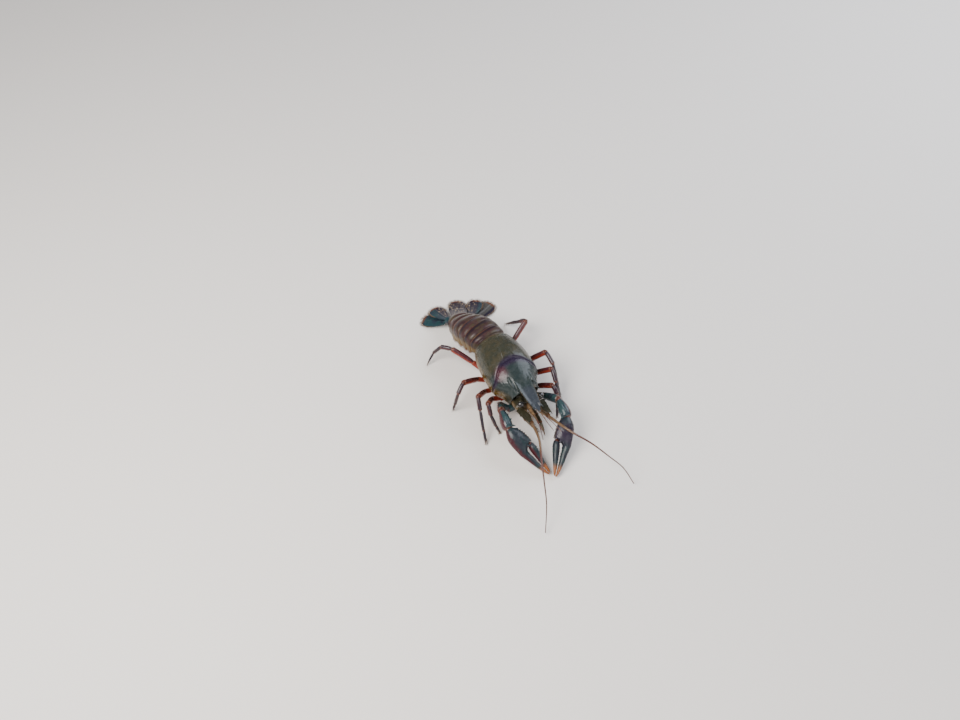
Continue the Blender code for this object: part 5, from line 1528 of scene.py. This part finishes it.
# %% Side blades of the tail fan
base, back, side_axis = joint_frame(6)
up = side_axis.cross(back)
for hand, tag in ((1, "l"), (-1, "r")):
    root = base + side_axis * (hand * CARRIER_REACH) - up * CARRIER_DROP
    ahead = fan_axis(hand * CARRIER_TURN)[0]
    end = root + ahead * CARRIER_LENGTH - Vector((0, 0, 1.0))
    carrier = melt("uropod_base_" + tag, [
        sleeve(root - back * 0.5, end + ahead * 0.3, 1.6, 1.6, flat=1.15, sides=20),
        thorn(end + ahead * 0.2 + up * 0.7, end + ahead * 1.6 + up * 0.9, 0.4)], 0.2)
    # Few painted glints on the carrier: its glint mask is set low.
    stain(carrier, "spark", lambda p, n: -0.5)
    settle(carrier, FAN_LOOK, "tail_fan", "uropod_base_" + tag)
    for name, heading, length, wide in FAN_BLADES:
        if not name.endswith("_" + tag):
            continue
        ahead, across = fan_axis(heading)
        clear, rise, tip_height, bend = BLADE_LEVELS[name.split("_")[1]]
        start = end + ahead * clear + Vector((0, 0, rise))
        line, halves = [], []
        for share in spread(0, 1, FAN_ROWS):
            spot = start + ahead * (length * share * 0.96)
            spot.z = tip_height + (start.z - tip_height) * (1 - share) ** bend
            line.append(spot)
            halves.append(wide * read_along(BLADE_SHAPE, share))
        outer = "outer" in name
        blade = leaf(name, line, across, halves, 0.2, 0.5, [(0, 0.08, 0.28)],
                     crease=0.72 if outer else None)
        blade = join(name, [blade, sleeve(end - ahead * 0.6, line[4], 0.85, 0.5, flat=1.2,
                                          sides=12)])

        def inwards(p):
            """Distance from the blade's rib towards the middle plate."""
            return -hand * (p - line[0]).dot(across)

        stain(blade, "rim", lambda p, n: 0.8 * ramp((p - line[0]).dot(ahead),
                                                    length * 0.80, length * 0.95))
        # The grey is a painted sky reflection, laid on the left outer blade only.
        for mask, edges, strength in (("middle", BLADE_VIOLET, 0.85), ("ash", BLADE_PAINTED_GLARE, 0.95)):
            begin, full = edges.get(name, NOWHERE)
            stain(blade, mask, lambda p, n: strength * ramp(inwards(p), begin, full))
        # Painted glints: pale dots on the inner blades only; the pale patches of light stay few.
        stain(blade, "speck", lambda p, n: 0.0 if outer else ramp(inwards(p), -1.5, 0.5))
        stain(blade, "spark", lambda p, n: -0.2)
        settle(blade, FAN_LOOK, "tail_fan", name)
        edge_fringe(line, across, halves, ahead, 0.45)
print("fan triangles:", sum(TRIANGLES[n] for n in TRIANGLES if n.startswith(("telson", "uropod"))))

# %% [markdown]
# The antennae rest on three stout sleeves each. The long lash beyond them is a tapering rod of
# more than a hundred short rings, so its tube swells and narrows all the way. The forked
# antennules above them are the same thing in small.

# %% A lash and the feelers' sizes
def lash(name, points, first, last, ring_length, sides=8):
    """A tapering rod of short rings along a smooth path."""
    length = sum((Vector(b) - Vector(a)).length for a, b in zip(points, points[1:]))
    count = int(length / ring_length)
    path = smooth_path(points, count * 2)
    widths = []
    for i in range(len(path)):
        radius = last + (first - last) * (1 - i / (len(path) - 1)) ** 1.6
        widths.append((radius * (1.0 if i % 2 else 0.86),) * 2)
    form = grow(name, rings_on(path, widths, sides))
    start = Vector(points[0])
    stain(form, "root", lambda p, n: ramp((p - start).length, 0.42 * length, 0.18 * length))
    stain(form, "ring", lambda p, n: 0.5)
    return form, path


ANTENNA_ROOT, ANTENNULE_ROOT = (4.0, 11.3), (1.15, 13.4)
ANTENNA = {
    "l": [(4.0, -28.6, 14.0), (7.6, -40.4, 16.3), (13.0, -49.1, 15.0), (17.9, -56.3, 11.0),
          (22.0, -61.8, 6.6), (23.8, -68.3, 1.9)],
    "r": [(4.0, -28.6, 14.0), (5.6, -37.5, 15.6), (9.4, -46.4, 15.2), (12.6, -54.4, 13.0),
          (15.6, -62.4, 8.0), (20.6, -71.0, 1.7)],
}
# Step back into the sleeve before, first and last radius of each sleeve
ANTENNA_SLEEVES = [(0, 1.75, 1.6), (0.5, 1.5, 1.35), (0.4, 1.25, 1.0)]
ANTENNULE_SLEEVES = [(0.95, 0.85), (0.78, 0.72), (0.68, 0.62)]
# Spread, lift and length of the two lashes of an antennule
ANTENNULE_LASHES = [(2.8, 1.8, 13.0), (0.5, -0.6, 10.5)]
print("lashes on each side:", 1 + len(ANTENNULE_LASHES))

# %% Antennae and antennules
for side, tag in ((1, "l"), (-1, "r")):
    root = on_face(ANTENNA_ROOT, side)
    knees = [root - OUT * 0.6, root + Vector((0.4 * side, -3.6, 0.6)),
             root + Vector((0.3 * side, -6.6, 1.6)), mirrored(ANTENNA[tag][0], side)]
    sleeves = [sleeve(knees[i] + Vector((0, back, 0)), knees[i + 1], first, last, sides=20,
                      flat=1.0)
               for i, (back, first, last) in enumerate(ANTENNA_SLEEVES)]
    sleeves.append(soften(thorn(knees[1] + Vector((1.2 * side, 0.6, 0)),
                                knees[1] + Vector((1.9 * side, -1.0, 0)), 0.4)))
    stem = join("antenna_base_" + tag, sleeves)
    stain(stem, "olive", lambda p, n: 0.7 * ramp(n.z, 0.0, 0.8))
    settle(stem, PALE_LOOK, "pale_shell", "antenna_base_" + tag)
    points = [mirrored(spot, side) for spot in ANTENNA[tag]]
    whip, path = lash("antenna_" + tag, points, 0.75, 0.22, 0.42)
    settle(whip, FEELER_LOOK, "feeler", "antenna_" + tag)
    bristle(path[0], path[len(path) // 6], 0.4, 30, 5 + side, 0.4)

    root = on_face(ANTENNULE_ROOT, side)
    knees = [root - OUT * 0.5, root + Vector((0.2 * side, -3.2, 0.7)),
             root + Vector((0.38 * side, -5.4, 1.25)), root + Vector((0.45 * side, -7.2, 1.75))]
    forms = [sleeve(knees[i], knees[i + 1], first, last, sides=14, flat=1.0, marks={"above": 0})
             for i, (first, last) in enumerate(ANTENNULE_SLEEVES)]
    for form in forms:
        stain(form, "root", lambda p, n: 1.0)
    for reach, lift, length in ANTENNULE_LASHES:
        start = knees[3] + Vector((0, 0.5, 0))
        points = [start, start + Vector((reach * 0.35 * side, -length * 0.5, lift)),
                  start + Vector((reach * side, -length - 0.4, lift * 0.4))]
        forms.append(lash("lash", points, 0.36, 0.14, 0.34, 7)[0])
    settle(join("antennule_" + tag, forms), FEELER_LOOK, "feeler", "antennule_" + tag)
print("feelers done; hair roots so far:", len(HAIR_ROOTS))

# %% [markdown]
# Beside each antenna lies a flat scale, stiff and spined along its outer edge, thin and fringed
# along its inner one. Below the face the outer mouthparts fold forward like a pair of short,
# hairy legs.

# %% Antennal scales
SCALE_START, SCALE_END = (1.9, -1.2, 2.35), (0.7, -9.6, 4.35)
SCALE_SHAPE = [(0, 0.6), (0.3, 0.95), (0.6, 1.0), (0.85, 0.75), (1, 0.25)]
SCALE_INNER, SCALE_OUTER, SCALE_ROWS_ALONG = 2.2, 1.15, 21


def build_scale(side, tag):
    """The flat scale beside an antenna."""
    root = on_face(ANTENNA_ROOT, side) + OUT * 0.3
    start, end = root + mirrored(SCALE_START, side), root + mirrored(SCALE_END, side)
    axis = Vector((side, 0, -0.25)).normalized()
    line, halves = [], []
    for share in spread(0, 1, SCALE_ROWS_ALONG):
        width = read_along(SCALE_SHAPE, share)
        inner, outer = SCALE_INNER * width, SCALE_OUTER * (0.7 + 0.3 * width)
        line.append(start.lerp(end, share) + axis * (outer - inner) / 2)
        halves.append((inner + outer) / 2)
    plate = leaf("scale", line, axis, halves, 0.25, 0.42, [(0.55, 0.14, 0.22)], columns=14)
    tip = end + axis * (SCALE_OUTER * 0.75)
    spike = soften(thorn(tip + Vector((0, 1.6, 0)), tip + Vector((0, -1.5, 0.1)), 0.42))
    scale = join("antennal_scale_" + tag, [plate, spike])
    stain(scale, "olive", lambda p, n: ramp(n.z, -0.2, 0.5))
    settle(scale, PALE_LOOK, "pale_shell", "antennal_scale_" + tag)
    inner_edge = [spot - axis * half for spot, half in zip(line[4:], halves[4:])]
    FRINGES.append((inner_edge, Vector((-0.75 * side, -0.65, 0)).normalized(), 1.3, 7))


print("antennal scale length:", round(math.dist(SCALE_START, SCALE_END), 1), "mm")

# %% Mouthparts and hairs of the beak
# Each sleeve of a mouthpart: start, end, first and last radius
MAXILLIPED = [((2.0, -14.8, 5.4), (2.7, -21.6, 5.8), 1.35, 1.2),
              ((2.7, -21.3, 5.8), (1.95, -26.5, 7.0), 1.02, 0.9),
              ((1.95, -26.2, 7.0), (1.5, -29.6, 5.6), 0.8, 0.68),
              ((1.5, -29.4, 5.7), (1.2, -31.7, 4.1), 0.55, 0.35)]
BEAK_HAIRS, BEAK_HAIR_TIP, BEAK_HAIR_ROOT = 46, -25.0, -15.5


def build_mouthpart(side, tag):
    """An outer mouthpart, and the hairs on the beak's edge above it."""
    sleeves = [sleeve(mirrored(a, side), mirrored(b, side), first, last,
                      TOE if last < 0.5 else SLEEVE, flat=0.8, marks={"above": 0})
               for a, b, first, last in MAXILLIPED]
    mouthpart = join("maxilliped_" + tag, sleeves)
    stain(mouthpart, "olive", lambda p, n: ramp(n.z, 0.2, 0.9) * 0.6)
    settle(mouthpart, PALE_LOOK, "pale_shell", "maxilliped_" + tag)
    for a, b, first, last in MAXILLIPED[:3]:
        a, b = mirrored(a, side), mirrored(b, side)
        edge = [a.lerp(b, t) + Vector((-0.75 * side * first, 0, 0.1))
                for t in spread(0.1, 0.95, 10)]
        FRINGES.append((edge, Vector((-0.6 * side, -0.5, 0.25)).normalized(), 1.1, 9))
        FRINGES.append((edge, Vector((-0.5 * side, -0.4, -0.6)).normalized(), 1.1, 7))
    draw = random.Random(60 + side)
    stretch = next(stretches)
    for _ in range(BEAK_HAIRS):
        y = draw.uniform(BEAK_HAIR_TIP, BEAK_HAIR_ROOT)
        half, height = read_column(ROSTRUM, y, 1), read_column(ROSTRUM, y, 2)
        share = (y - BEAK_HAIR_TIP) / (BEAK_HAIR_ROOT - BEAK_HAIR_TIP)
        HAIR_ROOTS.append((Vector((side * (half - 0.1), y, height - 0.2)),
                           Vector((side * 0.8, draw.uniform(-1.0, -0.2), 0.1)).normalized(),
                           draw.uniform(0.25, 0.6), (stretch, 0.5, share)))


for side, tag in ((1, "l"), (-1, "r")):
    build_scale(side, tag)
    build_mouthpart(side, tag)
print("fringes noted:", len(FRINGES))

# %% [markdown]
# From below one sees the narrow floor of the thorax, a keel of plates that the legs spring
# from, closed towards the sides by the leg hips. Its plates are knobs melted onto a grown bar.

# %% Underside of the thorax
STERNUM_TOP = 6.7
# Place along the animal, half width, height of the keel
STERNUM = [(THORAX_FRONT, 3.2, 4.6), (-14.4, 4.2, 4.1), (-4, 4.2, 3.9), (6, 4.2, 3.9),
           (12.6, 4.2, 4.2), (14.6, 3.0, 5.0)]
KEEL_PLATES = (-13.0, -6.6, -1.1, 4.4, 10.0)
rings = []
for y in spread(STERNUM[0][0], STERNUM[-1][0], 30):
    half, floor_z = read_column(STERNUM, y, 1), read_column(STERNUM, y, 2)
    rings.append([Vector((x * half, y, z)) for x, z in (
        (-1, STERNUM_TOP), (1, STERNUM_TOP), (1, floor_z + 1.2), (0.95, floor_z + 0.5),
        (0.6, floor_z + 0.1), (0.2, floor_z + 0.5), (0, floor_z + 0.6), (-0.2, floor_z + 0.5),
        (-0.6, floor_z + 0.1), (-0.95, floor_z + 0.5), (-1, floor_z + 1.2))])
forms = [grow("keel", rings)]
for y in KEEL_PLATES:
    for side in (-1, 1):
        forms.append(knob((2.2 * side, y, 4.2), (1.5, 1.2, 0.45)))
        forms.append(knob((0.9 * side, y - 2.2, 4.5), (0.7, 0.7, 0.4)))
for side in (-1, 1):
    forms.append(knob((1.7 * side, -15.3, 5.6), (2.0, 1.5, 1.5)))
    forms.append(knob((1.2 * side, -16.4, 6.6), (1.3, 1.0, 0.9)))
keel = melt("thorax_underside", forms, 0.25)
settle(keel, PALE_LOOK, "pale_shell", "thorax_underside")
print("underside triangles:", TRIANGLES["thorax_underside"])

# %% Soft skins in the joints
forms = [knob(centre, (radius,) * 3) for centre, radius in MEMBRANES]
for form in forms:
    form.data.transform(form.matrix_world)
    form.matrix_world = Matrix.Identity(4)
skins = join("joint_skins", forms)
stain(skins, "red", lambda p, n: 0.3)
stain(skins, "joint", lambda p, n: 0.5)
settle(skins, LEG_LOOK, "leg_shell")
print("joint skins:", len(MEMBRANES))

# %% [markdown]
# Last comes the hair. Every hair is a copy of one tapered, slightly bent spike, modelled once
# by growing a three-sided disc. The copies are laid on their roots with a seeded draw for
# length and lean, and joined into a few meshes, because thousands of objects would be slow.

# %% One hair, modelled once
# Height, bend and thickness, as shares of a hair's own
HAIR_STEPS = [(0, 0, 1.0), (0.4, 0.03, 0.8), (0.75, 0.11, 0.5), (1.0, 0.22, 0.12)]
HAIR_BEND = HAIR_STEPS[-1][1]
spike = grow("hair_pattern", [
    oval(Vector((bend, 0, height)), Vector((1, 0, 0)), Vector((0, 1, 0)), size, size, 3)
    for height, bend, size in HAIR_STEPS])
PATTERN = np.array([v.co for v in spike.data.vertices])
PATTERN_FACES = [list(polygon.vertices) for polygon in spike.data.polygons]
bpy.data.objects.remove(spike)
PATCH, CELL_MARGIN, CELL_USE = 0.003, 0.04, 0.9
LOWEST = 0.02


def comb(name, roots, material, slot, thickness):
    """Copies the pattern hair onto its roots.

    A root has a place, a direction, a length and its place on the unrolled skin: the number of
    the stretch, the share around it and the share along it. Each stretch has a cell of the map.
    """
    corners, faces, patches = [], [], []
    cells = math.ceil(math.sqrt(1 + max(root[3][0] for root in roots)))
    for count, (place, lie, length, (stretch, around, along)) in enumerate(roots):
        across = lie.cross(Vector((0.3, 0.2, 1))).normalized()
        over = across.cross(lie)
        turn = np.array([over * thickness, across * thickness, lie * length])
        bent = PATTERN.copy()
        squared = PATTERN[:, 2] ** 2
        bent[:, 0] -= squared * (HAIR_BEND * length / thickness) - squared * HAIR_BEND
        corners.append(bent @ turn + np.array(place))
        faces += [[i + count * len(PATTERN) for i in face] for face in PATTERN_FACES]
        patches.append(((stretch % cells + CELL_MARGIN + CELL_USE * around) / cells,
                        (stretch // cells + CELL_MARGIN + CELL_USE * along) / cells))
    corners = np.concatenate(corners)
    corners[:, 2] = np.maximum(corners[:, 2], LOWEST)
    mesh = bpy.data.meshes.new(name)
    mesh.from_pydata(corners.tolist(), [], faces)
    piece = bpy.data.objects.new(name, mesh)
    bpy.context.scene.collection.objects.link(piece)
    flat = mesh.uv_layers.new(name="OFBake")
    for loop in mesh.loops:
        hair, corner = divmod(loop.vertex_index, len(PATTERN))
        u, v = patches[hair]
        flat.data[loop.index].uv = (u + PATCH * (corner % 3) / 3, v + PATCH * corner / len(PATTERN))
    return settle(piece, material, slot)


print("faces in a hair:", len(PATTERN_FACES))

# %% Hair on legs, claws and fringes
FRINGE_THICKNESS, LIMB_HAIR_THICKNESS = 0.05, 0.045
CLEARANCE = 0.05
draw = random.Random(7)
fringe_roots = []
for stretch, (edge, lie, length, density) in enumerate(FRINGES):
    for step, (a, b) in enumerate(zip(edge, edge[1:])):
        for _ in range(max(1, round((b - a).length * density))):
            swing = Vector((draw.uniform(-1, 1), draw.uniform(-1, 1),
                            draw.uniform(-0.4, 0.6))) * 0.12
            part = draw.random()
            root = a.lerp(b, part)
            hair = (lie + swing).normalized()
            reach = length * draw.uniform(0.75, 1.15)
            if root.z + hair.z * reach < CLEARANCE:
                hair.z = max(hair.z, (CLEARANCE - root.z) / reach)
            fringe_roots.append((root, hair, reach,
                                 (stretch, 0.5, (step + part) / (len(edge) - 1))))
comb("fringe_hair", fringe_roots, HAIR_LOOK, "tail_fan", FRINGE_THICKNESS)
comb("limb_hair", HAIR_ROOTS, HAIR_LOOK, "leg_shell", LIMB_HAIR_THICKNESS)
print("hairs:", len(fringe_roots) + len(HAIR_ROOTS))

# %% [markdown]
# The lesson ends with a count of the triangles. The dressed model must stay inside the box
# of the CAD model, apart from hair and small details.

# %% Triangle count
print("triangles in all:", sum(TRIANGLES.values()))
